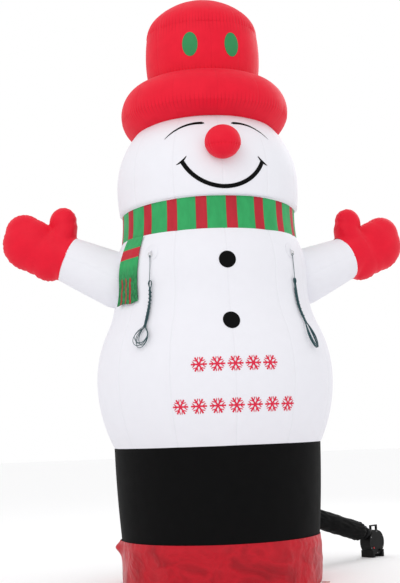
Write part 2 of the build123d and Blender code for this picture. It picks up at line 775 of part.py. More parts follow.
handle_height = housing_radius / 2 + handle_rise
handle_place = Pos(-handle_inset, 0, fan_height + housing_radius + handle_rise - handle_height / 2)
handle = handle_place * Box(handle_width, handle_depth, handle_height)
handle -= handle_place * Pos(0, 0, -handle_bar) * Box(
    handle_width - 2 * handle_bar, 2 * handle_depth, handle_height)
handle -= drum_on_axle(housing_radius, 2 * housing_width)
handle -= along_outlet(0, 2 * neck_reach, neck_radius, neck_radius)
parts["carry_handle"] = blower * handle

gland = gland_place * (Cylinder(gland_radius, gland_length, align=(Align.CENTER, Align.CENTER, Align.MIN))
                       - Cylinder(gland_bore, 3 * gland_length))
parts["cord_gland"] = blower * gland

bezel = Box(*switch_plate, align=(Align.CENTER, Align.CENTER, Align.MIN))
bezel -= Box(rocker[0] + 2 * rocker_gap, rocker[1] + 4 * rocker_gap, 4 * switch_plate[2])
parts["switch_bezel"] = blower * (switch_place * bezel)
rocker_solid = Pos(0, 0, switch_plate[2] + 0.5) * Rot(rocker_tilt, 0, 0) * Box(
    rocker[0], rocker[1], rocker[2])
rocker_room = switch_place * Box(rocker[0] + 2, rocker[1] + 4, 4 * switch_plate[2])
parts["housing_back"] = parts["housing_back"] - blower * rocker_room
parts["switch_rocker"] = blower * (switch_place * rocker_solid)

# ---- zip -----------------------------------------------------------------------------
zip_low, zip_high = drum_low + zip_low_margin, drum_high - zip_high_margin
zip_turn = degrees(zip_width / drum_middle_radius)
parts["zip_tape"] = drum.shell(patch_gap + patch_cloth, patch_gap, zip_low, zip_high, zip_turn, zip_azimuth)
slider_level = zip_high - zip_slider[2]
slider_across = drum.reach(slider_level) + patch_gap + patch_cloth + zip_slider_gap + zip_slider[1] / 2
slider = facing(zip_azimuth, slider_across, slider_level) * Box(zip_slider[0], zip_slider[2], zip_slider[1])
pull = facing(zip_azimuth, slider_across + zip_slider[1] / 2 + zip_pull[1] / 2,
              slider_level - zip_pull[2] / 3) * Box(zip_pull[0], zip_pull[2], zip_pull[1])
parts["zip_slider"] = slider
parts["zip_pull"] = pull

# ---- ground tabs ---------------------------------------------------------------------
tab_start = skirt_radius + seam_gap
eyelet_across = tab_start + ground_tab[1] - eyelet_inset
ground_tabs, eyelets = [], []
for step in range(ground_tab_count):
    turn = Rot(0, 0, 360 * (step + 0.5) / ground_tab_count)
    plate = Pos(tab_start + ground_tab[1] / 2, 0, ground_tab[2] / 2) * Box(
        ground_tab[1], ground_tab[0], ground_tab[2])
    plate -= Pos(eyelet_across, 0, 0) * Cylinder(eyelet_radius + eyelet_wall, 4 * ground_tab[2])
    ground_tabs += (turn * plate).solids()
    barrel = Cylinder(eyelet_radius + eyelet_wall, ground_tab[2], align=(Align.CENTER, Align.CENTER, Align.MIN))
    flange = Pos(0, 0, ground_tab[2]) * Cylinder(eyelet_flange, eyelet_wall,
                                                 align=(Align.CENTER, Align.CENTER, Align.MIN))
    eyelet = barrel + flange - Cylinder(eyelet_radius, 6 * ground_tab[2])
    eyelets += (turn * (Pos(eyelet_across, 0, 0) * eyelet)).solids()
parts["ground_tabs"] = Compound(ground_tabs)
parts["ground_eyelets"] = Compound(eyelets)

os.makedirs("parts", exist_ok=True)
for name, shape in parts.items():
    export_step(shape, "parts/" + name + ".step")
print("crown apex", round(crown_high + crown_dome), "brim join", round(brim_join, 1),
      "arm pivot", round(arm_across, 1), arm_height)
print("fan axle", [round(v, 2) for v in (fan_across * cos(heading), fan_across * sin(heading))],
      "ring", round(ring_across, 2), ring_level, "slider", round(slider_across, 2), round(slider_level, 1))
print("eyelet circle", round(2 * eyelet_across, 2))
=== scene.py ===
import json
from math import asin, atan2, cos, hypot, pi, radians, sin

import bpy
import numpy as np
from mathutils import Matrix, Vector, noise


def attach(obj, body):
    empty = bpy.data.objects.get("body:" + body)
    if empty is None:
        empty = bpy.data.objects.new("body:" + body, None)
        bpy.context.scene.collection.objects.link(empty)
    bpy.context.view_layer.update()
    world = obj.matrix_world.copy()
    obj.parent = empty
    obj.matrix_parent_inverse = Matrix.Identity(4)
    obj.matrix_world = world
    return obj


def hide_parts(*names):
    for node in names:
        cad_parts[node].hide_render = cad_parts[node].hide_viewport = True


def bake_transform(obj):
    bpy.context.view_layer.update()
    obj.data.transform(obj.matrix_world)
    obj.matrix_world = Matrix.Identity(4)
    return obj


# Inflatable snowman on a black drum base, with a red ground skirt, red mittens and hat,
# a striped scarf, four tether points and a blower behind it on the right.
# An azimuth is counted from the front (-Y), and grows towards +X. Metres throughout.

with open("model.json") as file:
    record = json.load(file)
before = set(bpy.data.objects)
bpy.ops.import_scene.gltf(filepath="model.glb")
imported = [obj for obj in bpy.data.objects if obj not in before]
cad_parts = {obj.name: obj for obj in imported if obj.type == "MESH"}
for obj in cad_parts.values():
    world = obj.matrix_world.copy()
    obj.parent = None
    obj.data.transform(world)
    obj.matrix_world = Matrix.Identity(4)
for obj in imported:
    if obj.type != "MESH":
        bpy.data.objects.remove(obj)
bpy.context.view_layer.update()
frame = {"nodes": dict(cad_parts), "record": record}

CLOTH = 0.002
PATCH = 0.0025
GORES = 12


# ---- camera --------------------------------------------------------------------------
def set_camera():
    lens = bpy.data.cameras.new("camera")
    lens.lens = 69.8
    lens.sensor_width = 36.0
    lens.clip_end = 200.0
    camera = bpy.data.objects.new("camera", lens)
    bpy.context.scene.collection.objects.link(camera)
    turn = (Matrix.Rotation(radians(-9.0), 4, "Z") @ Matrix.Rotation(radians(97.05), 4, "X")
            @ Matrix.Rotation(radians(-2.2), 4, "Z"))
    camera.matrix_world = Matrix.Translation((-1.913, -11.34, 1.5)) @ turn
    bpy.context.scene.camera = camera


set_camera()


# ---- hand tools ----------------------------------------------------------------------
def put_down():
    if bpy.context.object and bpy.context.object.mode != "OBJECT":
        bpy.ops.object.mode_set(mode="OBJECT")
    bpy.ops.object.select_all(action="DESELECT")


def take(obj, *others):
    put_down()
    for one in (obj, *others):
        one.select_set(True)
    bpy.context.view_layer.objects.active = obj


def edit(obj):
    take(obj)
    bpy.ops.object.mode_set(mode="EDIT")
    bpy.ops.mesh.select_mode(type="VERT")


def pick(obj, test, kind="VERT"):
    """In edit mode, selects the vertices, edges or faces whose middle passes the test."""
    bpy.ops.mesh.select_mode(type=kind)
    bpy.ops.mesh.select_all(action="DESELECT")
    bpy.ops.object.mode_set(mode="OBJECT")
    mesh = obj.data
    if kind == "VERT":
        for vertex in mesh.vertices:
            vertex.select = bool(test(vertex.co))
    elif kind == "EDGE":
        for edge in mesh.edges:
            first, second = (mesh.vertices[i].co for i in edge.vertices)
            edge.select = bool(test((first + second) / 2))
    else:
        for face in mesh.polygons:
            face.select = bool(test(face.center))
    bpy.ops.object.mode_set(mode="EDIT")


def cut_away(obj, test):
    edit(obj)
    pick(obj, test, "FACE")
    bpy.ops.mesh.delete(type="FACE")
    bpy.ops.object.mode_set(mode="OBJECT")


def tidy(obj, outside=True):
    edit(obj)
    bpy.ops.mesh.select_all(action="SELECT")
    bpy.ops.mesh.remove_doubles(threshold=0.00005)
    bpy.ops.mesh.normals_make_consistent(inside=not outside)
    bpy.ops.object.mode_set(mode="OBJECT")


def settle(obj):
    """Puts the object's place into its mesh."""
    take(obj)
    bpy.ops.object.transform_apply(location=True, rotation=True, scale=True)


def finish_with(obj, kind, **settings):
    take(obj)
    modifier = obj.modifiers.new(kind.title(), kind)
    for key, value in settings.items():
        setattr(modifier, key, value)
    bpy.ops.object.modifier_apply(modifier=modifier.name)


def joined(name, *pieces):
    take(*pieces)
    bpy.ops.object.join()
    pieces[0].name = name
    return pieces[0]


def copy_of(obj, name):
    again = obj.copy()
    again.data = obj.data.copy()
    again.name = name
    bpy.context.scene.collection.objects.link(again)
    return again


def smooth(obj, angle=35):
    take(obj)
    bpy.ops.object.shade_smooth_by_angle(angle=radians(angle))


def places(obj):
    flat = np.empty(3 * len(obj.data.vertices), np.float32)
    obj.data.vertices.foreach_get("co", flat)
    return flat.reshape(-1, 3).astype(float)


def move_to(obj, points):
    obj.data.vertices.foreach_set("co", points.astype(np.float32).ravel())
    obj.data.update()


def thicken(obj, thickness, outwards=False):
    finish_with(obj, "SOLIDIFY", thickness=thickness, offset=1.0 if outwards else -1.0)


def azimuth_of(points):
    return np.arctan2(points[:, 0], -points[:, 1])


def around(azimuth, across, height):
    """Points at an azimuth, a distance from the axis and a height."""
    return np.stack([across * np.sin(azimuth), -across * np.cos(azimuth), height + 0 * azimuth], 1)


def lay_uv(obj, across, along):
    """A UV map from one number across and one along for each vertex."""
    layer = obj.data.uv_layers.active or obj.data.uv_layers.new(name="cloth")
    corners = np.empty(len(obj.data.loops), np.int32)
    obj.data.loops.foreach_get("vertex_index", corners)
    pairs = np.stack([across[corners], along[corners]], 1)
    layer.data.foreach_set("uv", pairs.astype(np.float32).ravel())


# ---- sides of the panels -------------------------------------------------------------
def side(*arcs):
    """(radius, height) points along arcs of (across, up, radius, low, high, bulge)."""
    found = []
    for across, up, radius, low, high, bulge in arcs:
        for a in np.linspace(asin((low - up) / radius), asin(min(1, (high - up) / radius)), 160):
            found.append((across + bulge * radius * cos(a), up + radius * sin(a)))
    return np.array(found)


def side_through(low, middle, high):
    """(radius, height) points of the arc through three of them."""
    (x1, y1), (x2, y2), (x3, y3) = low, middle, high
    d = 2 * (x1 * (y2 - y3) + x2 * (y3 - y1) + x3 * (y1 - y2))
    s1, s2, s3 = x1 * x1 + y1 * y1, x2 * x2 + y2 * y2, x3 * x3 + y3 * y3
    across = (s1 * (y2 - y3) + s2 * (y3 - y1) + s3 * (y1 - y2)) / d
    up = (s1 * (x3 - x2) + s2 * (x1 - x3) + s3 * (x2 - x1)) / d
    return side((across, up, hypot(x1 - across, y1 - up), y1, y3, 1 if x2 > across else -1))


DRUM_LOW, DRUM_HIGH = 0.464, 1.36
SCARF_LOW, SCARF_HIGH = 3.414, 3.735
BRIM_JOIN, BRIM_SEAM, BRIM_MIDDLE = 4.5308, 4.7, 4.77
CROWN_LOW, CROWN_HIGH = 5.0856, 5.5919
DOME_SHOULDER, DOME_RISE = 0.1755, 0.386

drum_side = side_through((0.984, DRUM_LOW), (1.018, 0.912), (1.034, DRUM_HIGH))
body_side = side((-0.28, 2.01, 1.466, DRUM_HIGH, 2.01, 1), (0.0, 2.01, 1.186, 2.01, 2.5244, 1),
                 (1.8796, 2.9147, 0.9, 2.5244, 2.986, -1), (0.178, 3.05, 0.807, 2.986, SCARF_LOW, 1))
scarf_side = side_through((0.8982, SCARF_LOW), (0.885, 3.5745), (0.884, SCARF_HIGH))
head_side = side((-0.62, 3.99, 1.55, SCARF_HIGH, 3.99, 1),
                 (0.103, 3.99, 0.827, 3.99, BRIM_JOIN + 0.065, 1))
head_side[:, 0] -= 0.025 * np.exp(-((head_side[:, 1] - SCARF_HIGH) / 0.012) ** 2)
under_side = side((0.587, BRIM_MIDDLE, 0.278, BRIM_JOIN, BRIM_SEAM, 1))
brim_side = side((0.587, BRIM_MIDDLE, 0.278, BRIM_SEAM, BRIM_MIDDLE, 1),
                 (0.549, BRIM_MIDDLE, 0.316, BRIM_MIDDLE, CROWN_LOW, 1))
crown_side = side_through((0.566, CROWN_LOW), (0.592, (CROWN_LOW + CROWN_HIGH) / 2), (0.575, CROWN_HIGH))
dome_side = side((0.325, CROWN_HIGH, 0.25, CROWN_HIGH, CROWN_HIGH + DOME_SHOULDER, 1),
                 (0.0, CROWN_HIGH - 0.3203, 0.7063,
                  CROWN_HIGH + DOME_SHOULDER, CROWN_HIGH + DOME_RISE, 1))


def gathers(azimuth, away, count, rise, fade, seed):
    """Uneven tucks along a seam that die out away from it."""
    phase = count * azimuth + 1.7 * np.sin(5 * azimuth + seed) + 1.1 * np.sin(11 * azimuth + 2 * seed)
    uneven = 0.62 + 0.26 * np.sin(17 * azimuth + 3 * seed) + 0.12 * np.sin(41 * azimuth + seed)
    length = fade * (0.75 + 0.45 * np.sin(23 * azimuth + 5 * seed) * np.sin(7 * azimuth + seed))
    crease = np.abs(np.sin(phase / 2)) ** 0.7 - 0.66
    return rise * uneven * crease * np.exp(-np.abs(away) / length)


class Skin:
    """A sewn skin of revolution: its side, its gore seams, and tucks at its level seams."""

    def __init__(self, outline, valley=0.004, bulge=0.006, tucks=(), sway=0.0, seed=0.0):
        self.outline, self.valley, self.bulge = outline, valley, bulge
        self.tucks, self.sway, self.seed = tucks, sway, seed

    def push(self, azimuth, height):
        across = np.interp(height, self.outline[:, 1], self.outline[:, 0])
        pitch = 2 * pi / GORES
        part = azimuth / pitch - np.round(azimuth / pitch)
        seam = np.exp(-(part * pitch * across / 0.011) ** 2)
        moved = self.bulge * (np.abs(np.sin(pi * part)) ** 0.8 - 0.6) - self.valley * seam
        for level, count, rise, fade, seed in self.tucks:
            moved = moved + gathers(azimuth, height - level, count, rise, fade, seed)
        moved = moved + self.sway * (np.sin(3 * azimuth + 2.1 * height + self.seed)
                                     + 0.6 * np.sin(7 * azimuth - 3.7 * height + 2 * self.seed))
        return moved * np.clip(across / 0.3, 0, 1)

    def reach(self, azimuth, height):
        return np.interp(height, self.outline[:, 1], self.outline[:, 0]) + self.push(azimuth, height)

    def rings(self, count):
        """(radius, height) of the rings, closer together at both ends."""
        steps = np.hypot(*np.diff(self.outline, axis=0).T)
        along = np.concatenate([[0], np.cumsum(steps)])
        share = (1 - np.cos(pi * np.linspace(0, 1, count + 1))) / 2
        share = 0.55 * share + 0.45 * np.linspace(0, 1, count + 1)
        wanted = along[-1] * share
        return np.stack([np.interp(wanted, along, self.outline[:, 0]),
                         np.interp(wanted, along, self.outline[:, 1])], 1)

    def sew(self, name, count, segments, draw=0.6):
        """A ring pulled up the side, then drawn in at the seams."""
        rings = [(float(r), float(h)) for r, h in self.rings(count)]
        put_down()
        radius, height = rings[0]
        bpy.ops.mesh.primitive_circle_add(vertices=segments, radius=radius, location=(0, 0, height))
        skin = bpy.context.object
        skin.name = name
        settle(skin)
        edit(skin)
        bpy.ops.mesh.select_all(action="SELECT")
        closed = rings[-1][0] < 0.01
        for wide, high in rings[1:-1] if closed else rings[1:]:
            bpy.ops.mesh.extrude_region_move(TRANSFORM_OT_translate={"value": (0, 0, high - height)})
            bpy.ops.transform.resize(value=(wide / radius, wide / radius, 1),
                                     center_override=(0, 0, high))
            radius, height = wide, high
        if closed:
            bpy.ops.mesh.extrude_region_move(
                TRANSFORM_OT_translate={"value": (0, 0, rings[-1][1] - height)})
            bpy.ops.mesh.merge(type="CENTER")
        bpy.ops.object.mode_set(mode="OBJECT")
        points = places(skin)
        azimuth, across = azimuth_of(points), np.hypot(points[:, 0], points[:, 1])
        azimuth = azimuth - draw * np.sin(GORES * azimuth) / GORES
        across = across + self.push(azimuth, points[:, 2])
        move_to(skin, around(azimuth, np.maximum(across, 0), points[:, 2]))
        tidy(skin)
        return skin


# level seams: height, number of tucks, depth, reach away from the seam, seed
DRUM_FOOT_TUCKS = (DRUM_LOW, 90, 0.004, 0.03, 0.4)
DRUM_TOP_TUCKS = (DRUM_HIGH, 96, 0.003, 0.04, 1.1)
SCARF_LOW_TUCKS = (SCARF_LOW, 80, 0.003, 0.03, 2.2)
SCARF_HIGH_TUCKS = (SCARF_HIGH, 76, 0.003, 0.03, 0.9)
BRIM_JOIN_TUCKS = (BRIM_JOIN, 70, 0.004, 0.04, 1.7)
BRIM_SEAM_TUCKS = (BRIM_SEAM, 132, 0.009, 0.065, 0.2)
CROWN_FOOT_TUCKS = (CROWN_LOW, 96, 0.008, 0.045, 2.9)
DOME_TUCKS = (CROWN_HIGH, 100, 0.013, 0.10, 1.3)
CROWN_TOP_TUCKS = (CROWN_HIGH, 100, 0.005, 0.025, 1.3)

skins = {
    "base_drum": Skin(drum_side, valley=0.0, bulge=0.002, sway=0.002,
                      tucks=[DRUM_FOOT_TUCKS, DRUM_TOP_TUCKS]),
    "body": Skin(body_side, valley=0.002, bulge=0.005, sway=0.003, seed=0.7,
                 tucks=[DRUM_TOP_TUCKS, SCARF_LOW_TUCKS]),
    "scarf_band": Skin(scarf_side, valley=0.0, bulge=0.0, sway=0.002,
                       tucks=[SCARF_LOW_TUCKS, SCARF_HIGH_TUCKS]),
    "head": Skin(head_side, valley=0.0015, bulge=0.004, sway=0.002, seed=2.0,
                 tucks=[SCARF_HIGH_TUCKS, BRIM_JOIN_TUCKS]),
    "brim_under": Skin(under_side, valley=0.001, bulge=0.002, tucks=[BRIM_JOIN_TUCKS, BRIM_SEAM_TUCKS]),
    "brim_top": Skin(brim_side, valley=0.001, bulge=0.002, tucks=[BRIM_SEAM_TUCKS, CROWN_FOOT_TUCKS]),
    "crown": Skin(crown_side, valley=0.001, bulge=0.002, sway=0.002,
                  tucks=[CROWN_FOOT_TUCKS, CROWN_TOP_TUCKS]),
    "crown_top": Skin(dome_side, valley=0.001, bulge=0.002, tucks=[DOME_TUCKS]),
}


# ---- finishes ------------------------------------------------------------------------
class Signal:
    """A number that varies over a surface, with the usual signs."""

    def __init__(self, finish, socket):
        self.finish, self.socket = finish, socket

    def sum_of(self, operation, *values):
        made = self.finish.node("Math", {"operation": operation},
                                {i: v for i, v in enumerate(values)})
        return Signal(self.finish, made.outputs[0])

    def __add__(self, other):
        return self.sum_of("ADD", self, other)

    def __sub__(self, other):
        return self.sum_of("SUBTRACT", self, other)

    def __rsub__(self, other):
        return self.sum_of("SUBTRACT", other, self)

    def __mul__(self, other):
        return self.sum_of("MULTIPLY", self, other)

    def __truediv__(self, other):
        return self.sum_of("DIVIDE", self, other)

    def __pow__(self, other):
        return self.sum_of("POWER", self, other)

    def __lt__(self, other):
        return self.sum_of("LESS_THAN", self, other)

    __radd__, __rmul__ = __add__, __mul__

    def sine(self):
        return self.sum_of("SINE", self)

    def size(self):
        return self.sum_of("ABSOLUTE", self)

    def rest(self):
        """What is left after the whole number below."""
        return self.sum_of("FRACT", self)

    def over(self, other):
        return self.sum_of("ARCTAN2", self, other)

    def within(self, low, high):
        """0 at low and 1 at high, straight between them and held beyond."""
        made = self.finish.node("MapRange", {"clamp": True},
                                {"Value": self, "From Min": low, "From Max": high})
        return Signal(self.finish, made.outputs[0])


class Finish:
    """The material of one kind of piece, on its own coordinates."""

    def __init__(self, name, colour, roughness, **uniform):
        self.material = bpy.data.materials.new(name)
        self.material.use_nodes = True
        self.tree = self.material.node_tree
        self.shader = self.tree.nodes["Principled BSDF"]
        self.colour = (*colour, 1.0)
        self.shader.inputs["Base Color"].default_value = self.colour
        self.shader.inputs["Roughness"].default_value = roughness
        for key, value in uniform.items():
            self.shader.inputs[key.replace("_", " ").title()].default_value = value
        self.points = self.node("TexCoord").outputs["Object"]
        self.height = None

    def node(self, kind, settings=None, sockets=None):
        """Any node: its settings first, then numbers or links for its sockets."""
        made = self.tree.nodes.new("ShaderNode" + kind)
        for key, value in (settings or {}).items():
            setattr(made, key, value)
        for key, value in (sockets or {}).items():
            if isinstance(value, Signal):
                value = value.socket
            if isinstance(value, bpy.types.NodeSocket):
                self.tree.links.new(value, made.inputs[key])
            else:
                made.inputs[key].default_value = value
        return made

    def axes(self, points=None):
        split = self.node("SeparateXYZ", None, {0: self.points if points is None else points})
        return [Signal(self, out) for out in split.outputs]

    def cloud(self, scale, detail=3.0, stretch=(1, 1, 1), points=None, distortion=0.0):
        """Soft noise from 0 to 1."""
        points = self.points if points is None else points
        placed = self.node("Mapping", None, {"Vector": points, "Scale": stretch})
        made = self.node("TexNoise", None, {"Vector": placed.outputs[0], "Scale": scale,
                                            "Detail": detail, "Distortion": distortion})
        return Signal(self, made.outputs[0])

    def mixed(self, factor, first, second):
        made = self.node("Mix", {"data_type": "RGBA"}, {0: factor, 6: first, 7: second})
        return made.outputs[2]

    def paint(self, colour):
        self.tree.links.new(colour, self.shader.inputs["Base Color"])

    def dull(self, roughness):
        self.tree.links.new(roughness.socket, self.shader.inputs["Roughness"])

    def raise_by(self, height, distance):
        made = self.node("Bump", None, {"Height": height, "Distance": distance})
        self.tree.links.new(made.outputs[0], self.shader.inputs["Normal"])

    def on(self, *pieces):
        for piece in pieces:
            piece.data.materials.clear()
            piece.data.materials.append(self.material)
        return pieces[0] if pieces else None


def shade(colour, amount):
    return (*[c * amount for c in colour], 1.0)


def cloth(name, colour, roughness=0.62, sheen=0.25, tint=(1, 1, 1), seams=True, dark=0.8,
          creases=0.0016, mottled=0.93, tucks=()):
    """Coated woven cloth: a fine weave, soft creases, stitched seams, and painted shade in the folds at
    the tucks.
    """
    made = Finish(name, colour, roughness, sheen_weight=sheen, sheen_roughness=0.4)
    made.shader.inputs["Sheen Tint"].default_value = (*tint, 1.0)
    made.shader.inputs["Specular IOR Level"].default_value = 0.2
    x, y, z = made.axes()
    azimuth = x.over(0 - y)
    across = (x * x + y * y) ** 0.5
    crease = made.cloud(2.3, 4.0, (1.0, 1.0, 0.55), distortion=0.4)
    mottle = made.cloud(9.0, 4.0)
    warp = (azimuth * 1400).sine() * 0.5
    weft = (z * 1600).sine() * 0.5
    height = crease * creases + (warp * weft) * 0.00012
    colour_and_painted_fold_shade = made.mixed(mottle.within(0.3, 0.75), made.colour, shade(colour, mottled))
    # Painted shade: the colour is darkened along the crease lines of the tucks near their seams, where
    # shade falls in the folds.
    for level, count, _, reach, seed in tucks:
        phase = (azimuth * count + (azimuth * 5 + seed).sine() * 1.7
                 + (azimuth * 11 + 2 * seed).sine() * 1.1)
        fold = (phase * 0.5).sine().size().within(0.5, 0.0)
        near = (z - level).size().within(1.3 * reach, 0.0)
        colour_and_painted_fold_shade = made.mixed(fold * near * 0.6, colour_and_painted_fold_shade, shade(colour, 0.6))
    if seams:
        part = (azimuth * (GORES / (2 * pi)) + 0.5).rest() - 0.5
        away = part.size() * across * (2 * pi / GORES)
        line = 1 - away.within(0.0012, 0.0045)
        stitch = (away - 0.007).size().within(0.0016, 0.0008)
        dashes = (z * 130).rest() < 0.62
        colour_and_painted_fold_shade = made.mixed(line * 0.16, colour_and_painted_fold_shade, shade(colour, dark * 0.8))
        colour_and_painted_fold_shade = made.mixed(stitch * dashes * 0.08, colour_and_painted_fold_shade, shade(colour, dark * 0.7))
        height = height - line * 0.0004
    made.paint(colour_and_painted_fold_shade)
    made.dull(mottle * 0.14 + (roughness - 0.07))
    made.raise_by(height, 1.0)
    return made


WHITE = (0.80, 0.80, 0.85)
RED = (0.77, 0.004, 0.026)
GREEN = (0.030, 0.375, 0.115)
STRIPE = (0.50, 0.016, 0.032)
BLACK = (0.003, 0.003, 0.0032)

white_cloth = cloth("white coated cloth", WHITE, 0.6, 0.08, (0.95, 0.9, 1.0), dark=0.86,
                    creases=0.0009, mottled=0.985)
# The red cloth gets painted shade in the folds at the brim seam, crown foot and dome tucks.
red_cloth = cloth("red coated cloth", RED, 0.6, 0.04, (1.0, 0.55, 0.7), dark=0.75,
                  tucks=[BRIM_SEAM_TUCKS, CROWN_FOOT_TUCKS, DOME_TUCKS])
black_cloth = cloth("black coated cloth", BLACK, 0.75, 0.01, seams=False)
black_patch = cloth("black patch cloth", BLACK, 0.7, 0.01, seams=False, creases=0.0004)
for dull_black in (black_cloth, black_patch):
    dull_black.shader.inputs["Specular IOR Level"].default_value = 0.07
green_patch = cloth("green patch cloth", (0.030, 0.25, 0.085), 0.6, 0.04, seams=False, creases=0.0004)
flake_red = cloth("red print", (0.70, 0.02, 0.06), 0.55, 0.1, seams=False, creases=0.0002)
patch_white = cloth("white patch cloth", WHITE, 0.6, 0.12, seams=False, creases=0.0004)


def striped_scarf():
    """Green cloth with red stripes sewn in at even azimuths."""
    made = Finish("striped scarf cloth", GREEN, 0.7, sheen_weight=0.03, sheen_roughness=0.4)
    made.shader.inputs["Specular IOR Level"].default_value = 0.25
    x, y, z = made.axes()
    azimuth = x.over(0 - y) * (180 / pi)
    weave = (azimuth * 26).sine() * (z * 1600).sine()
    part = ((azimuth - 5.2) / STRIPE_PITCH + 0.5).rest() - 0.5
    off = part.size() * STRIPE_PITCH
    inside = off.within(STRIPE_HALF + 0.04, STRIPE_HALF - 0.04)
    seam = (off - STRIPE_HALF).size().within(0.26, 0.06)
    mottle = made.cloud(14.0, 4.0, (1, 1, 0.4))
    green = made.mixed(mottle.within(0.3, 0.75), made.colour, shade(GREEN, 0.8))
    red = made.mixed(mottle.within(0.3, 0.75), (*STRIPE, 1), shade(STRIPE, 0.82))
    colour = made.mixed(inside, green, red)
    made.paint(made.mixed(seam * 0.3, colour, shade(GREEN, 0.4)))
    made.dull(mottle * 0.14 + 0.55)
    made.raise_by(made.cloud(3.0, 4.0) * 0.0012 + weave * 0.0001 - seam * 0.001, 1.0)
    return made


STRIPE_PITCH, STRIPE_HALF = 360 / 19, 3.5
scarf_cloth = striped_scarf()


def satin():
    """Thin shiny red cloth full of sharp creases, with painted highlights along the crease lines and
    painted shade between them.
    """
    colour = (0.44, 0.004, 0.014)
    made = Finish("crinkled red satin", colour, 0.42, sheen_weight=0.02, sheen_roughness=0.35)
    made.shader.inputs["Specular IOR Level"].default_value = 0.22
    made.shader.inputs["Sheen Tint"].default_value = (1.0, 0.5, 0.6, 1.0)
    z = made.axes()[2]
    fold = (made.cloud(2.8, 4.0, (1, 1, 1.2), distortion=1.0) - 0.5).size()
    small = (made.cloud(13.0, 4.0, distortion=0.8) - 0.5).size()
    # Painted light and shade: a lighter copy of the red along the crease lines and a darker one away
    # from them, standing in for the satin's highlights.
    colour_and_painted_fold_shade = made.mixed(fold.within(0.0, 0.22), shade(colour, 1.15), shade(colour, 0.72))
    made.paint(colour_and_painted_fold_shade)
    made.dull(small * 0.5 + 0.34)
    made.raise_by(fold * 0.026 + small * 0.002 + (z * 1600).sine() * 0.00008, 1.0)
    return made


skirt_satin = satin()


def rope_braid():
    """Laid rope: strands that wind round it, from the rope's own UV map, with painted shade in the
    grooves between strands and painted light on their crowns.
    """
    colour = (0.008, 0.065, 0.075)
    made = Finish("teal braided rope", colour, 0.7, sheen_weight=0.2)
    u, v, _ = made.axes(made.node("TexCoord").outputs["UV"])
    strand = ((u * ROPE_TURNS + v) * 3 * 2 * pi).sine()
    fibre = made.cloud(900.0, 2.0)
    # Painted shade and light: darker in the grooves between the strands, lighter on their raised crowns.
    made.paint(made.mixed(strand.within(-0.9, 0.6), shade(colour, 0.5), shade(colour, 1.35)))
    made.dull(fibre * 0.2 + 0.6)
    made.raise_by(strand * 0.0005 + fibre * 0.0001, 1.0)
    return made


ROPE_TURNS = 380.0
rope_teal = rope_braid()


def moulded(name, colour, roughness, grain=0.00006, metallic=0.0, wear=0.85):
    """Moulded plastic or plain metal: a fine grain and a few duller places."""
    made = Finish(name, colour, roughness, metallic=metallic)
    blotch = made.cloud(18.0, 4.0)
    fine = made.cloud(1300.0, 2.0)
    made.paint(made.mixed(blotch.within(0.35, 0.8), made.colour, shade(colour, wear)))
    made.dull(blotch * 0.2 + (roughness - 0.1))
    made.raise_by(fine * grain, 1.0)
    return made


hard_finishes = {
    "ring_steel": moulded("zinc plated ring", (0.62, 0.62, 0.60), 0.3, metallic=1.0),
    "webbing": moulded("black webbing", (0.005, 0.005, 0.006), 0.75, 0.0003),
    "buckle_plastic": moulded("buckle plastic", (0.006, 0.006, 0.006), 0.42),
    "eyelet_brass": moulded("pressed brass", (0.78, 0.56, 0.26), 0.3, metallic=1.0),
    "housing_plastic": moulded("black housing plastic", (0.004, 0.004, 0.004), 0.5, 0.0002),
    "grille_steel": moulded("painted grille wire", (0.03, 0.03, 0.032), 0.4, metallic=0.6),
    "impeller_plastic": moulded("grey impeller plastic", (0.16, 0.16, 0.17), 0.45),
    "motor_steel": moulded("motor case", (0.33, 0.33, 0.33), 0.38, metallic=0.9),
    "shaft_steel": moulded("ground shaft", (0.55, 0.55, 0.55), 0.22, metallic=1.0),
    "screw_steel": moulded("screw heads", (0.45, 0.45, 0.46), 0.3, metallic=1.0),
    "trim_plastic": moulded("black trim", (0.005, 0.005, 0.005), 0.5),
    "rocker_plastic": moulded("red rocker", (0.55, 0.015, 0.02), 0.35),
    "zip_metal": moulded("zip metal", (0.35, 0.33, 0.30), 0.35, metallic=1.0),
}
for slot in ("webbing", "buckle_plastic", "housing_plastic", "trim_plastic"):
    hard_finishes[slot].shader.inputs["Specular IOR Level"].default_value = 0.15
hidden_cloths = {"baffle_cloth": patch_white, "white_cloth": white_cloth, "red_cloth": red_cloth,
                 "black_cloth": black_cloth, "skirt_cloth": skirt_satin, "scarf_cloth": scarf_cloth,
                 "black_patch": black_patch, "green_patch": green_patch, "red_print": flake_red,
                 "patch_cloth": patch_white, "rope": rope_teal}


def made_piece(obj, finish, slot, body, *nodes):
    """Gives a finished piece its material and its body, and hides the CAD parts it stands for; its slot
    is not used.
    """
    finish.on(obj)
    settle(obj)
    if body:
        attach(obj, body)
    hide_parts(*nodes)
    return obj


# ---- figure: skins of the panels -----------------------------------------------------
ARM_HEIGHT, ARM_ACROSS, ARM_SWEEP = 3.045, 0.952, radians(13)
ARM_RISES = {-1: radians(25.4), 1: radians(21.9)}
ARM_ROOT, ARM_CUFF, ARM_LENGTH = 0.285, 0.230, 0.557


def arm_line(sign):
    """Pivot and direction of an arm; sign is -1 for the left one."""
    rise = ARM_RISES[sign]
    return (Vector((sign * ARM_ACROSS, 0, ARM_HEIGHT)),
            Vector((sign * cos(ARM_SWEEP) * cos(rise), sin(ARM_SWEEP) * cos(rise), sin(rise))))


def arm_place(sign):
    """Where an arm stands: its Z runs along it and its X up across it."""
    pivot, along = arm_line(sign)
    up = (Vector((0, 0, 1)) - along * along.z).normalized()
    turn = Matrix((up, along.cross(up), along)).transposed().to_4x4()
    return Matrix.Translation(pivot) @ turn


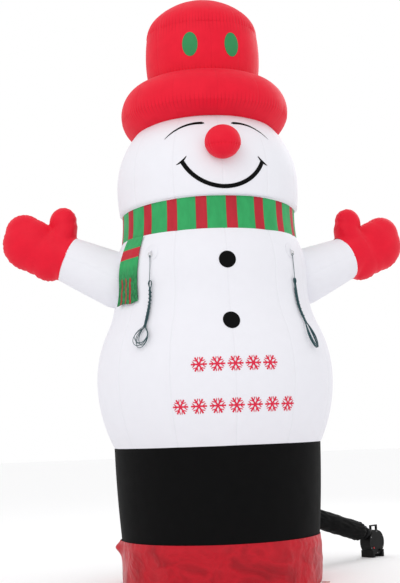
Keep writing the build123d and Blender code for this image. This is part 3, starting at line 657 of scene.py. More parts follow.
def inside_an_arm(place):
    for sign in (-1, 1):
        pivot, along = arm_line(sign)
        offset = place - pivot
        if offset.dot(along) > -0.3 and (offset - along * offset.dot(along)).length < 0.245:
            return True
    return False


def raise_front(brim):
    """Lifts the inner edge of the brim over the forehead, where it follows the head."""
    points = places(brim)
    azimuth, across = azimuth_of(points), np.hypot(points[:, 0], points[:, 1])
    share = np.clip((BRIM_SEAM - points[:, 2]) / (BRIM_SEAM - BRIM_JOIN), 0, 1)
    share = share * np.clip(np.cos(azimuth), -0.25, 1)
    move_to(brim, around(azimuth, across - 0.047 * share, points[:, 2] + 0.052 * share))


def sink_sides(skin):
    """Lowers the seam on top of the scarf at both sides of the neck."""
    points = places(skin)
    share = np.clip(1 - np.abs(points[:, 2] - SCARF_HIGH) / 0.32, 0, 1)
    points[:, 2] -= 0.035 * share * np.sin(azimuth_of(points)) ** 2
    move_to(skin, points)


for name, node, finish, slot, count, segments in (
        ("base_drum_cloth", "base_drum", black_cloth, "black_cloth", 26, 384),
        ("body_cloth", "body", white_cloth, "white_cloth", 60, 384),
        ("scarf_band_cloth", "scarf_band", scarf_cloth, "scarf_cloth", 14, 384),
        ("head_cloth", "head", white_cloth, "white_cloth", 28, 384),
        ("brim_under_cloth", "brim_under", red_cloth, "red_cloth", 14, 720),
        ("brim_top_cloth", "brim_top", red_cloth, "red_cloth", 26, 720),
        ("crown_side_cloth", "crown", red_cloth, "red_cloth", 20, 600),
        ("crown_top_cloth", "crown_top", red_cloth, "red_cloth", 26, 600)):
    skin = skins[node].sew(name, count, segments, 0.25 if segments > 400 else 0.7)
    if node == "body":
        cut_away(skin, inside_an_arm)
    if node == "brim_under":
        raise_front(skin)
    if node in ("head", "scarf_band"):
        sink_sides(skin)
    thicken(skin, CLOTH)
    smooth(skin, 50)
    made_piece(skin, finish, slot, "root", {"body": "body_skin", "head": "head_skin",
                                            "crown": "crown_side"}.get(node, node))


# ---- arms ----------------------------------------------------------------------------
def make_arm(sign, name):
    """A ring pulled out along the arm: ball-shaped root, then a cone up to the cuff."""
    lean = atan2(ARM_LENGTH, ARM_CUFF)
    lean -= np.arccos(ARM_ROOT / hypot(ARM_CUFF, ARM_LENGTH))
    rings = [(ARM_ROOT * cos(a), ARM_ROOT * sin(a)) for a in np.linspace(radians(-28), lean, 8)]
    first = rings[-1]
    for share in np.linspace(0, 1, 25)[1:]:
        rings.append((first[0] + (ARM_CUFF - first[0]) * share,
                      first[1] + (ARM_LENGTH - first[1]) * share))
    put_down()
    radius, height = rings[0]
    bpy.ops.mesh.primitive_circle_add(vertices=160, radius=radius, location=(0, 0, height))
    arm = bpy.context.object
    arm.name = name
    settle(arm)
    edit(arm)
    bpy.ops.mesh.select_all(action="SELECT")
    for wide, high in rings[1:]:
        bpy.ops.mesh.extrude_region_move(TRANSFORM_OT_translate={"value": (0, 0, high - height)})
        bpy.ops.transform.resize(value=(wide / radius, wide / radius, 1), center_override=(0, 0, high))
        radius, height = wide, high
    bpy.ops.object.mode_set(mode="OBJECT")
    points = places(arm)
    turn = np.arctan2(points[:, 1], points[:, 0])
    across, along = np.hypot(points[:, 0], points[:, 1]), points[:, 2]
    part = turn / (pi / 2) - np.round(turn / (pi / 2))
    across = across - 0.0035 * np.exp(-(part * pi / 2 * across / 0.012) ** 2)
    across = across + gathers(turn, along - ARM_LENGTH, 44, 0.006, 0.05, 1.9)
    across = across + gathers(turn, along, 40, 0.004, 0.05, 0.3)
    across = across + 0.004 * np.sin(2 * turn + 6 * along + sign)
    move_to(arm, np.stack([across * np.cos(turn), across * np.sin(turn), along], 1))
    tidy(arm)
    thicken(arm, CLOTH)
    smooth(arm, 50)
    arm.matrix_world = arm_place(sign)
    return arm


arm_cloth = cloth("white arm cloth", WHITE, 0.6, 0.08, (0.95, 0.9, 1.0), seams=False, creases=0.0009,
                  mottled=0.985)
for sign, side_name in ((-1, "left"), (1, "right")):
    arm, (pivot, direction) = make_arm(sign, "arm_cloth_" + side_name), arm_line(sign)
    made_piece(arm, arm_cloth, "white_cloth", None, "arm_" + side_name)
    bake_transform(arm)


# ---- mittens -------------------------------------------------------------------------
def ball(place, size, turn=0.0):
    """A ball stretched to its half sizes; place and turn are in the arm's own plane."""
    bpy.ops.mesh.primitive_uv_sphere_add(segments=64, ring_count=40, radius=1.0)
    made = bpy.context.object
    made.matrix_world = (Matrix.Translation((place[1], 0, place[0])) @ Matrix.Rotation(turn, 4, "Y")
                         @ Matrix.Diagonal((*size, 1)))
    return made


def make_mitten(sign, name):
    """Hand, heel and thumb, run together, with a seam all round that puckers below."""
    put_down()
    palm = ball((0.985, -0.010), (0.272, 0.200, 0.285))
    fingers = ball((1.080, 0.075), (0.195, 0.165, 0.205))
    side_of_hand = ball((0.870, -0.050), (0.230, 0.190, 0.200))
    heel = ball((0.735, -0.030), (0.264, 0.205, 0.240))
    thumb = ball((0.768, 0.338), (0.148, 0.130, 0.138))
    thumb_root = ball((0.700, 0.200), (0.200, 0.150, 0.140))
    bpy.ops.mesh.primitive_cone_add(vertices=96, radius1=ARM_CUFF, radius2=0.215, depth=0.22,
                                    location=(0, 0, ARM_LENGTH + 0.105))
    wrist = bpy.context.object
    mitten = joined(name, palm, fingers, side_of_hand, heel, thumb, thumb_root, wrist)
    settle(mitten)
    finish_with(mitten, "REMESH", mode="VOXEL", voxel_size=0.011)
    finish_with(mitten, "SMOOTH", factor=0.5, iterations=5)
    finish_with(mitten, "SMOOTH", factor=0.5, iterations=110, use_x=False, use_z=False)
    cut_away(mitten, lambda place: place.z < ARM_LENGTH + 0.004)
    points = places(mitten)
    depth, up, along = points[:, 1], points[:, 0], points[:, 2]
    rim = np.exp(-(depth / 0.016) ** 2)
    turn = np.arctan2(up, along - 0.86)
    low = np.clip((0.05 - up) / 0.2, 0, 1)
    spread = np.exp(-(depth / 0.06) ** 2)
    scallop = np.abs(np.sin(15 * turn + 1.3 * np.sin(6 * turn))) - 0.55
    away = np.stack([np.sin(turn), np.zeros_like(turn), np.cos(turn)], 1)
    beyond = np.clip((along - ARM_LENGTH - 0.03) / 0.05, 0, 1)
    amount = (0.009 * low * spread * scallop - 0.006 * rim + 0.002 * spread * np.sin(60 * turn)) * beyond
    points = points + away * amount[:, None]
    move_to(mitten, points)
    near_cuff = places(mitten)
    share = np.clip(1 - (near_cuff[:, 2] - ARM_LENGTH) / 0.06, 0, 1)
    ring = np.hypot(near_cuff[:, 0], near_cuff[:, 1])
    pulled = near_cuff[:, :2] * ((ARM_CUFF + 0.001) / ring)[:, None]
    near_cuff[:, :2] += (pulled - near_cuff[:, :2]) * share[:, None]
    near_cuff[:, 2] = np.where(near_cuff[:, 2] < ARM_LENGTH + 0.012, ARM_LENGTH - 0.004, near_cuff[:, 2])
    move_to(mitten, near_cuff)
    tidy(mitten)
    thicken(mitten, CLOTH)
    smooth(mitten, 60)
    mitten.matrix_world = arm_place(sign)
    return mitten


mitten_cloth = cloth("red mitten cloth", RED, 0.55, 0.06, (1.0, 0.55, 0.7), seams=False, creases=0.003)
for sign, side_name in ((-1, "left"), (1, "right")):
    mitten = make_mitten(sign, "mitten_cloth_" + side_name)
    made_piece(mitten, mitten_cloth, "red_cloth", "arm_" + side_name, "mitten_" + side_name)


# ---- nose ----------------------------------------------------------------------------
NOSE_RADIUS, NOSE_HEIGHT, NOSE_FORWARD = 0.168, 4.232, 0.994


def make_nose():
    """A ball with one level seam low on it, gathered, let into the face."""
    put_down()
    bpy.ops.mesh.primitive_uv_sphere_add(segments=180, ring_count=90, radius=NOSE_RADIUS)
    nose = bpy.context.object
    nose.name = "nose_cloth"
    points = places(nose)
    turn, up = azimuth_of(points), points[:, 2]
    away = up + 0.052
    moved = gathers(turn, away, 38, 0.014, 0.035, 0.8) - 0.005 * np.exp(-(away / 0.006) ** 2)
    moved = moved + gathers(turn, up - 0.10, 24, 0.002, 0.05, 2.0)
    flat = np.hypot(points[:, 0], points[:, 1])
    points[:, :2] *= (1 + moved / np.maximum(flat, 0.03))[:, None]
    points[:, :2] *= 1.03
    points[:, 2] *= 0.965
    move_to(nose, points + np.array([0, -NOSE_FORWARD, NOSE_HEIGHT]))
    cut_away(nose, lambda place: hypot(place.x, place.y)
             < np.interp(place.z, head_side[:, 1], head_side[:, 0]) - 0.02)
    tidy(nose)
    thicken(nose, CLOTH)
    smooth(nose, 50)
    return nose


nose_cloth = cloth("red nose cloth", RED, 0.55, 0.06, (1.0, 0.55, 0.7), seams=False)
made_piece(make_nose(), nose_cloth, "red_cloth", "root", "nose_ball")


# ---- patches on the skins ------------------------------------------------------------
def lay_on(obj, skin, azimuth, level, lift):
    """Wraps a flat piece, drawn across X and up Y, onto a skin at an azimuth and a level."""
    flat = places(obj)
    height = flat[:, 1] + level
    across = np.interp(height, skin.outline[:, 1], skin.outline[:, 0])
    turn = radians(azimuth) + np.arcsin(np.clip(flat[:, 0] / across, -1, 1))
    move_to(obj, around(turn, skin.reach(turn, height) + lift, height))
    return obj


def patch(obj, skin, azimuth, level, thickness=PATCH, lift=0.0006):
    """Lays a flat piece on a skin and gives it a thickness."""
    lay_on(obj, skin, azimuth, level, lift)
    thicken(obj, thickness, outwards=True)
    smooth(obj, 40)
    return obj


def disc_of(name, half_width, half_height, rings=6, vertices=72):
    """Flat oval, inset ring by ring so that it can follow a curve."""
    put_down()
    bpy.ops.mesh.primitive_circle_add(vertices=vertices, radius=1.0, fill_type="NGON")
    made = bpy.context.object
    made.name = name
    edit(made)
    bpy.ops.mesh.select_all(action="SELECT")
    for step in range(rings - 1):
        bpy.ops.mesh.inset(thickness=1 / rings)
    bpy.ops.mesh.poke()
    bpy.ops.mesh.select_all(action="SELECT")
    bpy.ops.transform.resize(value=(half_width, half_height, 1), center_override=(0, 0, 0))
    bpy.ops.object.mode_set(mode="OBJECT")
    return made


def ribbon_of(name, start, centre, turn, width, steps=48):
    """A strip swept round a centre from a start point, three strips wide."""
    put_down()
    bpy.ops.mesh.primitive_plane_add(size=1.0)
    made = bpy.context.object
    made.name = name
    out = Vector((start[0] - centre[0], start[1] - centre[1])).normalized()
    edit(made)
    pick(made, lambda place: place.y > 0)
    bpy.ops.mesh.delete(type="VERT")
    bpy.ops.mesh.select_all(action="SELECT")
    bpy.ops.mesh.subdivide(number_cuts=2)
    bpy.ops.object.mode_set(mode="OBJECT")
    line = places(made)
    line = np.stack([start[0] + line[:, 0] * width * out.x, start[1] + line[:, 0] * width * out.y,
                     0 * line[:, 0]], 1)
    move_to(made, line)
    edit(made)
    bpy.ops.mesh.select_all(action="SELECT")
    bpy.ops.mesh.spin(steps=steps, angle=-turn, center=(centre[0], centre[1], 0), axis=(0, 0, 1))
    bpy.ops.object.mode_set(mode="OBJECT")
    tidy(made)
    return made


def taper(obj, centre, start_angle, turn, width_at):
    """Narrows a swept strip: width_at gives a share of its width for 0 to 1 along it."""
    flat = places(obj)
    offset = flat[:, :2] - np.array(centre)
    radius = np.hypot(offset[:, 0], offset[:, 1])
    middle = (radius.min() + radius.max()) / 2
    angle = np.arctan2(offset[:, 1], offset[:, 0])
    share = ((angle - start_angle + pi) % (2 * pi) - pi) / turn
    wanted = middle + (radius - middle) * width_at(np.clip(share, 0, 1))
    flat[:, :2] = np.array(centre) + offset * (wanted / radius)[:, None]
    move_to(obj, flat)


def swept(name, first, middle, last, width, width_at):
    """A tapering strip through three flat points."""
    (x1, y1), (x2, y2), (x3, y3) = first, middle, last
    d = 2 * (x1 * (y2 - y3) + x2 * (y3 - y1) + x3 * (y1 - y2))
    s1, s2, s3 = x1 * x1 + y1 * y1, x2 * x2 + y2 * y2, x3 * x3 + y3 * y3
    centre = ((s1 * (y2 - y3) + s2 * (y3 - y1) + s3 * (y1 - y2)) / d,
              (s1 * (x3 - x2) + s2 * (x1 - x3) + s3 * (x2 - x1)) / d)
    start, end = atan2(y1 - centre[1], x1 - centre[0]), atan2(y3 - centre[1], x3 - centre[0])
    through = atan2(y2 - centre[1], x2 - centre[0])
    turn = (end - start + 2 * pi) % (2 * pi)
    if (through - start + 2 * pi) % (2 * pi) > turn:
        turn -= 2 * pi
    made = ribbon_of(name, first, centre, turn, width)
    taper(made, centre, start, turn, width_at)
    return made


def stroke(share):
    """Blunt at the start, pointed at the end."""
    return np.clip(share / 0.05, 0.35, 1) * (1 - share) ** 0.75 + 0.02


def spindle(share):
    return 0.12 + 0.88 * np.sin(pi * share) ** 0.8


def even(share):
    return 0 * share + 1


FACE_LEVEL, SMILE_TURN = 4.075, 1.2
smile_pieces = [swept("smile_cloth", (-0.395, 0.0), (0.0, -0.26), (0.395, 0.0), 0.040, even)]
for sign in (-1, 1):
    smile_pieces.append(swept("tick", (sign * 0.352, 0.052), (sign * 0.391, 0.006),
                              (sign * 0.451, -0.030), 0.020, spindle))
for one in smile_pieces:
    patch(one, skins["head"], SMILE_TURN, FACE_LEVEL)
made_piece(joined("smile_cloth", *smile_pieces), black_patch, "black_patch", "root", "smile")

for sign, side_name in ((-1, "left"), (1, "right")):
    eye = swept("eye_cloth_" + side_name, (sign * 0.133, 0.023), (sign * 0.335, 0.0),
                (sign * 0.515, -0.123), 0.030, stroke)
    patch(eye, skins["head"], 0, 4.455)
    made_piece(eye, black_patch, "black_patch", "root", "eye_" + side_name)

for name, level in (("button_upper", 3.1), ("button_lower", 2.516)):
    button = patch(disc_of(name + "_cloth", 0.081, 0.081), skins["body"], 0, level)
    made_piece(button, black_patch, "black_patch", "root", name)

for name, azimuth in (("hat_dot_left", -21), ("hat_dot_right", 21)):
    dot = patch(disc_of(name + "_cloth", 0.079, 0.124), skins["crown"], azimuth, 5.35)
    made_piece(dot, green_patch, "green_patch", "root", name)


# ---- snowflakes ----------------------------------------------------------------------
FLAKE_BAR, FLAKE_REACH = 0.015, 0.074


def make_flake():
    """A hexagon with an arm pulled from each side, and a pair of barbs from each arm."""
    put_down()
    bpy.ops.mesh.primitive_circle_add(vertices=6, radius=FLAKE_BAR, fill_type="NGON")
    flake = bpy.context.object
    flake.name = "snowflake"
    settle(flake)
    for step in range(6):
        angle = radians(60 * step)
        out, across = Vector((cos(angle), sin(angle), 0)), Vector((-sin(angle), cos(angle), 0))
        reach = FLAKE_BAR * cos(radians(30))
        for pull in (0.022, 0.012, FLAKE_REACH - reach - 0.034):
            edit(flake)
            pick(flake, lambda p: abs(p.dot(out) - reach) < 0.001 and abs(p.dot(across)) < 0.001, "EDGE")
            bpy.ops.mesh.extrude_region_move(TRANSFORM_OT_translate={"value": out * pull})
            bpy.ops.object.mode_set(mode="OBJECT")
            reach += pull
        middle = FLAKE_BAR * cos(radians(30)) + 0.028
        for aside in (-1, 1):
            edit(flake)
            pick(flake, lambda p: abs(p.dot(out) - middle) < 0.002
                 and abs(p.dot(across) - aside * FLAKE_BAR / 2) < 0.001, "EDGE")
            bpy.ops.mesh.extrude_region_move(
                TRANSFORM_OT_translate={"value": out * 0.020 + across * (aside * 0.020)})
            bpy.ops.object.mode_set(mode="OBJECT")
    tidy(flake)
    edit(flake)
    bpy.ops.mesh.select_all(action="SELECT")
    bpy.ops.mesh.subdivide(number_cuts=2)
    bpy.ops.object.mode_set(mode="OBJECT")
    return flake


flake = make_flake()
for name, count, level, apart in (("snowflakes_upper", 5, 2.108, 8.2),
                                  ("snowflakes_lower", 7, 1.727, 8.6)):
    row = []
    for step in range(count):
        one = copy_of(flake, "flake")
        row.append(patch(one, skins["body"], (step - (count - 1) / 2) * apart, level, 0.0015))
    made_piece(joined(name + "_cloth", *row), flake_red, "red_print", "root", name)
bpy.data.objects.remove(flake)


# ---- tether points -------------------------------------------------------------------
TETHER_AZIMUTHS, TETHER_LEVEL, RING_ACROSS = (-45, 45, 135, -135), 3.22, 0.99089
LOOP_STEPS, LOOP_STEP = 8, 0.008

discs, loops = [], []
for azimuth in TETHER_AZIMUTHS:
    discs.append(patch(disc_of("patch", 0.08, 0.08), skins["body"], azimuth, TETHER_LEVEL))
    put_down()
    bpy.ops.mesh.primitive_plane_add(size=1.0)
    loop = bpy.context.object
    edit(loop)
    bpy.ops.mesh.select_all(action="SELECT")
    bpy.ops.transform.resize(value=(0.016, 0.002, 1), center_override=(0, 0, 0))
    pick(loop, lambda place: place.y > 0.0005, "EDGE")
    for turn in range(LOOP_STEPS):
        bpy.ops.mesh.extrude_region_move(TRANSFORM_OT_translate={"value": (0, LOOP_STEP, 0)})
    bpy.ops.object.mode_set(mode="OBJECT")
    flat = places(loop)
    share = np.clip((flat[:, 1] + 0.001) / 0.066, 0, 1)
    foot = RING_ACROSS - 0.0195
    bend = np.interp(share, [0, 0.18, 0.38, 0.5, 0.62, 0.82, 1],
                     [foot, foot + 0.004, RING_ACROSS - 0.002, RING_ACROSS + 0.0058,
                      RING_ACROSS - 0.002, foot + 0.004, foot])
    rise = np.interp(share, [0, 0.18, 0.38, 0.5, 0.62, 0.82, 1],
                     [-0.022, -0.008, -0.0062, 0.0, 0.0062, 0.008, 0.022])
    direction = radians(azimuth)
    move_to(loop, np.stack([bend * sin(direction) + flat[:, 0] * cos(direction),
                            -bend * cos(direction) + flat[:, 0] * sin(direction),
                            TETHER_LEVEL + rise], 1))
    tidy(loop)
    thicken(loop, 0.0014)
    loops.append(loop)
made_piece(joined("tether_patch_cloth", *discs), patch_white, "patch_cloth", "root", "tether_patches")
made_piece(joined("tether_loop_webbing", *loops), patch_white, "patch_cloth", "root", "tether_tabs")


# ---- scarf tail ----------------------------------------------------------------------
TAIL_TOP, TAIL_LENGTH = 3.408, 0.660


def make_tail():
    """A hanging end of the scarf that leans out as it goes down, with soft folds."""
    put_down()
    bpy.ops.mesh.primitive_grid_add(x_subdivisions=28, y_subdivisions=64, size=1.0)
    tail = bpy.context.object
    tail.name = "scarf_tail_cloth"
    flat = places(tail)
    across, down = flat[:, 0] + 0.5, 0.5 - flat[:, 1]
    left = np.interp(down, [0, 0.2, 0.5, 1], [-70.8, -70.6, -71.2, -72.4])
    right = np.interp(down, [0, 0.2, 0.45, 0.75, 1], [-54.0, -54.0, -54.3, -55.5, -54.4])
    azimuth = np.radians(left + (right - left) * across)
    height = TAIL_TOP - down * (TAIL_LENGTH - 0.012 * across) - 0.006 * np.sin(9 * across + 2) * down
    reach = np.interp(height, body_side[:, 1], body_side[:, 0]) + 0.013
    reach = reach + down * (0.004 + 0.030 * (1 - across) ** 2)
    wave = (np.sin(2 * pi * (1.6 * across + 0.35 * down) + 0.6)
            + 0.5 * np.sin(2 * pi * 3.1 * across + 4 * down))
    reach = reach + 0.0035 * wave * np.clip(down / 0.35, 0, 1)
    move_to(tail, around(azimuth, reach, height))
    lay_uv(tail, across, down)
    edit(tail)
    bpy.ops.mesh.select_all(action="SELECT")
    bpy.ops.mesh.normals_make_consistent(inside=False)
    bpy.ops.object.mode_set(mode="OBJECT")
    middle = tail.data.polygons[len(tail.data.polygons) // 2]
    if middle.normal.dot(Vector((middle.center.x, middle.center.y, 0))) < 0:
        edit(tail)
        bpy.ops.mesh.select_all(action="SELECT")
        bpy.ops.mesh.flip_normals()
        bpy.ops.object.mode_set(mode="OBJECT")
    thicken(tail, 0.005, outwards=True)
    smooth(tail, 50)
    return tail


def fringe_cloth():
    """Green, a level red band, then a darker knotted zone with painted shade between the knots, and thin
    wavering red lines.
    """
    made = Finish("scarf tail cloth", GREEN, 0.7, sheen_weight=0.03, sheen_roughness=0.45)
    made.shader.inputs["Specular IOR Level"].default_value = 0.25
    u, v, _ = made.axes(made.node("TexCoord").outputs["UV"])
    mottle = made.cloud(26.0, 5.0, (1, 1, 0.45))
    knots = made.cloud(70.0, 3.0, (1, 1, 0.35))
    wander = (made.cloud(7.0, 2.0, (0.2, 0.2, 1.0)) - 0.5) * 0.16
    low = v.within(0.42, 0.66)
    green = made.mixed(mottle.within(0.3, 0.75), made.colour, shade(GREEN, 0.78))
    # Painted shade: within the knotted zone the green is darker where the knots' bump is low, in the
    # recesses between them.
    dark = made.mixed(knots.within(0.4, 0.6), shade(GREEN, 0.22), shade(GREEN, 0.62))
    colour = made.mixed(low * 0.85, green, dark)
    band = (v - 0.245 - (1 - u) * 0.015).size().within(0.078, 0.072)
    colour = made.mixed(band, colour, (*STRIPE, 1))
    zone = v.within(0.60, 0.64)
    lines = None
    for place, lean in ((0.16, 0.02), (0.38, 0.16), (0.64, -0.04)):
        sway = (v * 34 + place * 9).sine() * 0.014
        line = (u - place - wander - sway - (v - 0.62) * lean).size().within(0.044, 0.030)
        lines = line if lines is None else lines.sum_of("MAXIMUM", lines, line)
    colour = made.mixed(lines * zone * 0.95, colour, shade(STRIPE, 0.75))
    made.paint(colour)
    made.dull(mottle * 0.14 + 0.6)
    made.raise_by(knots * low * 0.004 + mottle * 0.001 - lines * zone * 0.001, 1.0)
    return made


tail_cloth = fringe_cloth()
tail = make_tail()
made_piece(tail, tail_cloth, "scarf_cloth", None, "scarf_tail")
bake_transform(tail)


# ---- ground skirt --------------------------------------------------------------------
SKIRT_TOP, SKIRT_RADIUS = 0.464, 0.9883


def ridged(point, scale, seed):
    return 1 - 2.4 * abs(noise.noise(point * scale + Vector((seed, 2 * seed, -seed))))


def make_skirt():
    """A straight skirt, crumpled, with a bunched ear of cloth on the left."""
    skirt_side = np.array([(SKIRT_RADIUS, 0.0), (SKIRT_RADIUS, SKIRT_TOP)])
    plain = Skin(skirt_side, valley=0.0, bulge=0.0)
    plain.rings = lambda count: np.stack([np.interp(np.linspace(0, SKIRT_TOP, count + 1),
                                                    skirt_side[:, 1], skirt_side[:, 0]),
                                          np.linspace(0, SKIRT_TOP, count + 1)], 1)
    skirt = plain.sew("skirt_cloth", 34, 560, 0.0)
    points = places(skirt)
    azimuth, across, height = azimuth_of(points), np.hypot(points[:, 0], points[:, 1]), points[:, 2]
    moved = np.zeros(len(points))
    for i, (x, y, z) in enumerate(points):
        place = Vector((x, y, 0.9 * z))
        bent = place + Vector((0.10 * z, -0.05 * z, 0.05 * noise.noise(place * 5)))
        moved[i] = (0.015 * ridged(bent, 2.4, 1.3) + 0.005 * ridged(bent, 6.0, 4.1)
                    + 0.0012 * ridged(bent, 15.0, 7.7))
    sewn = np.clip((SKIRT_TOP - height) / 0.07, 0.12, 1)
    moved = (moved + 0.006) * sewn
    moved = moved + gathers(azimuth, height - SKIRT_TOP, 70, 0.006, 0.06, 3.1)
    ear = np.exp(-((np.degrees(azimuth) + 93) / 5.0) ** 2) * np.exp(-((height - 0.395) / 0.055) ** 2)
    moved = moved + 0.052 * ear
    floor = 0.953 + 0.034 * height / SKIRT_TOP + 0.001
    drawn_in = 0.024 * (1 - height / SKIRT_TOP)
    across = np.maximum(across + moved - drawn_in, floor)
    move_to(skirt, around(azimuth, across, np.maximum(height, 0.0008)))
    thicken(skirt, 0.0015)
    smooth(skirt, 60)
    return skirt


skirt = make_skirt()
made_piece(skirt, skirt_satin, "skirt_cloth", "root", "ground_skirt")


# ---- air sleeve and blower -----------------------------------------------------------
HEADING, SLOPE = radians(36.2), radians(17)
BLOWER = Matrix(((-cos(HEADING), sin(HEADING), 0, 2.00534), (-sin(HEADING), -cos(HEADING), 0, 1.46769),
                 (0, 0, 1, 0), (0, 0, 0, 1)))
OUTLET = BLOWER @ Matrix.Translation((0, 0, 0.168)) @ Matrix.Rotation(-SLOPE, 4, "Y") @ (
    Matrix.Translation((0, 0, 0.066)) @ Matrix.Rotation(pi / 2, 4, "Y"))
NECK_REACH, SLEEVE_START, SLEEVE_END = 0.205, 0.150, 1.5695
SLEEVE_RADIUS, GRIP_RADIUS = 0.1025, 0.0663


def make_sleeve():
    """A long soft tube, strapped on the blower's neck and sewn into the drum."""
    rings = []
    for place in np.concatenate([np.linspace(SLEEVE_START, NECK_REACH + 0.09, 22),
                                 np.linspace(NECK_REACH + 0.09, SLEEVE_END + 0.055, 64)[1:]]):
        share = np.clip((place - NECK_REACH) / 0.09, 0, 1)
        share = share * share * (3 - 2 * share)
        rings.append((GRIP_RADIUS + (SLEEVE_RADIUS - GRIP_RADIUS) * share, float(place)))
    put_down()
    radius, height = rings[0]
    bpy.ops.mesh.primitive_circle_add(vertices=120, radius=radius, location=(0, 0, height))
    sleeve = bpy.context.object
    sleeve.name = "air_sleeve_cloth"
    settle(sleeve)
    edit(sleeve)
    bpy.ops.mesh.select_all(action="SELECT")
    for wide, high in rings[1:]:
        bpy.ops.mesh.extrude_region_move(TRANSFORM_OT_translate={"value": (0, 0, high - height)})
        bpy.ops.transform.resize(value=(wide / radius, wide / radius, 1), center_override=(0, 0, high))
        radius, height = wide, high
    bpy.ops.object.mode_set(mode="OBJECT")
    points = places(sleeve)
    turn, along = np.arctan2(points[:, 1], points[:, 0]), points[:, 2]
    across = np.hypot(points[:, 0], points[:, 1])
    free = np.clip((along - NECK_REACH) / 0.08, 0, 1)
    moved = np.zeros(len(points))
    for i in range(len(points)):
        on_tube = Vector((2.2 * cos(turn[i]), 2.2 * sin(turn[i]), 7.0 * along[i]))
        moved[i] = 0.006 * ridged(on_tube, 0.9, 2.2) + 0.0035 * noise.noise(on_tube * 2.3)
    bunch = np.exp(-((along - NECK_REACH - 0.07) / 0.09) ** 2)
    moved = moved + bunch * 0.006 * np.sin(14 * turn + 20 * along) * free
    across = across + moved * free
    across = across + gathers(turn, along - SLEEVE_END, 30, 0.004, 0.05, 1.0)
    points[:, 0], points[:, 1] = across * np.cos(turn), across * np.sin(turn)
    share = np.clip((along - NECK_REACH) / (SLEEVE_END - NECK_REACH), 0, 1)
    points[:, 0] += 0.022 * np.sin(pi * share)
    points[:, 1] += 0.010 * np.sin(2 * pi * share)
    move_to(sleeve, points)
    tidy(sleeve)
    thicken(sleeve, CLOTH)
    smooth(sleeve, 60)
    sleeve.matrix_world = OUTLET
    return sleeve


sleeve_cloth = cloth("black sleeve cloth", BLACK, 0.7, 0.01, dark=0.4, seams=False, creases=0.004)
sleeve_cloth.shader.inputs["Specular IOR Level"].default_value = 0.08
made_piece(make_sleeve(), sleeve_cloth, "black_cloth", "root", "inlet_sleeve")

put_down()
bpy.ops.mesh.primitive_circle_add(vertices=96, radius=0.0692, location=(0, 0, 0.165))
strap = bpy.context.object
strap.name = "sleeve_strap_webbing"
settle(strap)
edit(strap)
bpy.ops.mesh.select_all(action="SELECT")
for step in range(5):
    bpy.ops.mesh.extrude_region_move(TRANSFORM_OT_translate={"value": (0, 0, 0.005)})
bpy.ops.object.mode_set(mode="OBJECT")
webbing = places(strap)
webbing[:, :2] *= (1 + 0.012 * np.sin(14 * np.arctan2(webbing[:, 1], webbing[:, 0])))[:, None]
move_to(strap, webbing)
tidy(strap)
thicken(strap, 0.0022, outwards=True)
smooth(strap, 40)
strap.matrix_world = OUTLET
made_piece(strap, hard_finishes["webbing"], "webbing", "root", "sleeve_strap")


# ---- zip -----------------------------------------------------------------------------
ZIP_LOW, ZIP_HIGH, ZIP_WIDTH = 0.554, 1.25, 0.060
TEETH, TOOTH_APART = 170, 0.004
put_down()
bpy.ops.mesh.primitive_grid_add(x_subdivisions=8, y_subdivisions=48, size=1.0)
tape = bpy.context.object
tape.name = "zip_tape_cloth"
flat = places(tape)
flat[:, 0] *= ZIP_WIDTH
flat[:, 1] *= ZIP_HIGH - ZIP_LOW
move_to(tape, flat)
patch(tape, skins["base_drum"], 180, (ZIP_LOW + ZIP_HIGH) / 2, 0.0018)
teeth = []
bpy.ops.mesh.primitive_cube_add(size=1.0)
tooth = bpy.context.object
edit(tooth)
bpy.ops.mesh.select_all(action="SELECT")
bpy.ops.transform.resize(value=(0.007, 0.0022, 0.0032), center_override=(0, 0, 0))
bpy.ops.mesh.bevel(offset=0.0006, segments=1)
bpy.ops.object.mode_set(mode="OBJECT")
for step in range(TEETH):
    level = ZIP_LOW + 0.012 + step * TOOTH_APART
    one = copy_of(tooth, "tooth")
    across = float(np.interp(level, drum_side[:, 1], drum_side[:, 0])) + 0.0034
    move_to(one, places(one) + np.array([0.0016 * (-1) ** step, across, level]))
    teeth.append(one)
bpy.data.objects.remove(tooth)
chain = joined("zip_chain", *teeth)
made_piece(tape, black_patch, "black_cloth", "root", "zip_tape")
made_piece(chain, hard_finishes["zip_metal"], "zip_metal", "root")


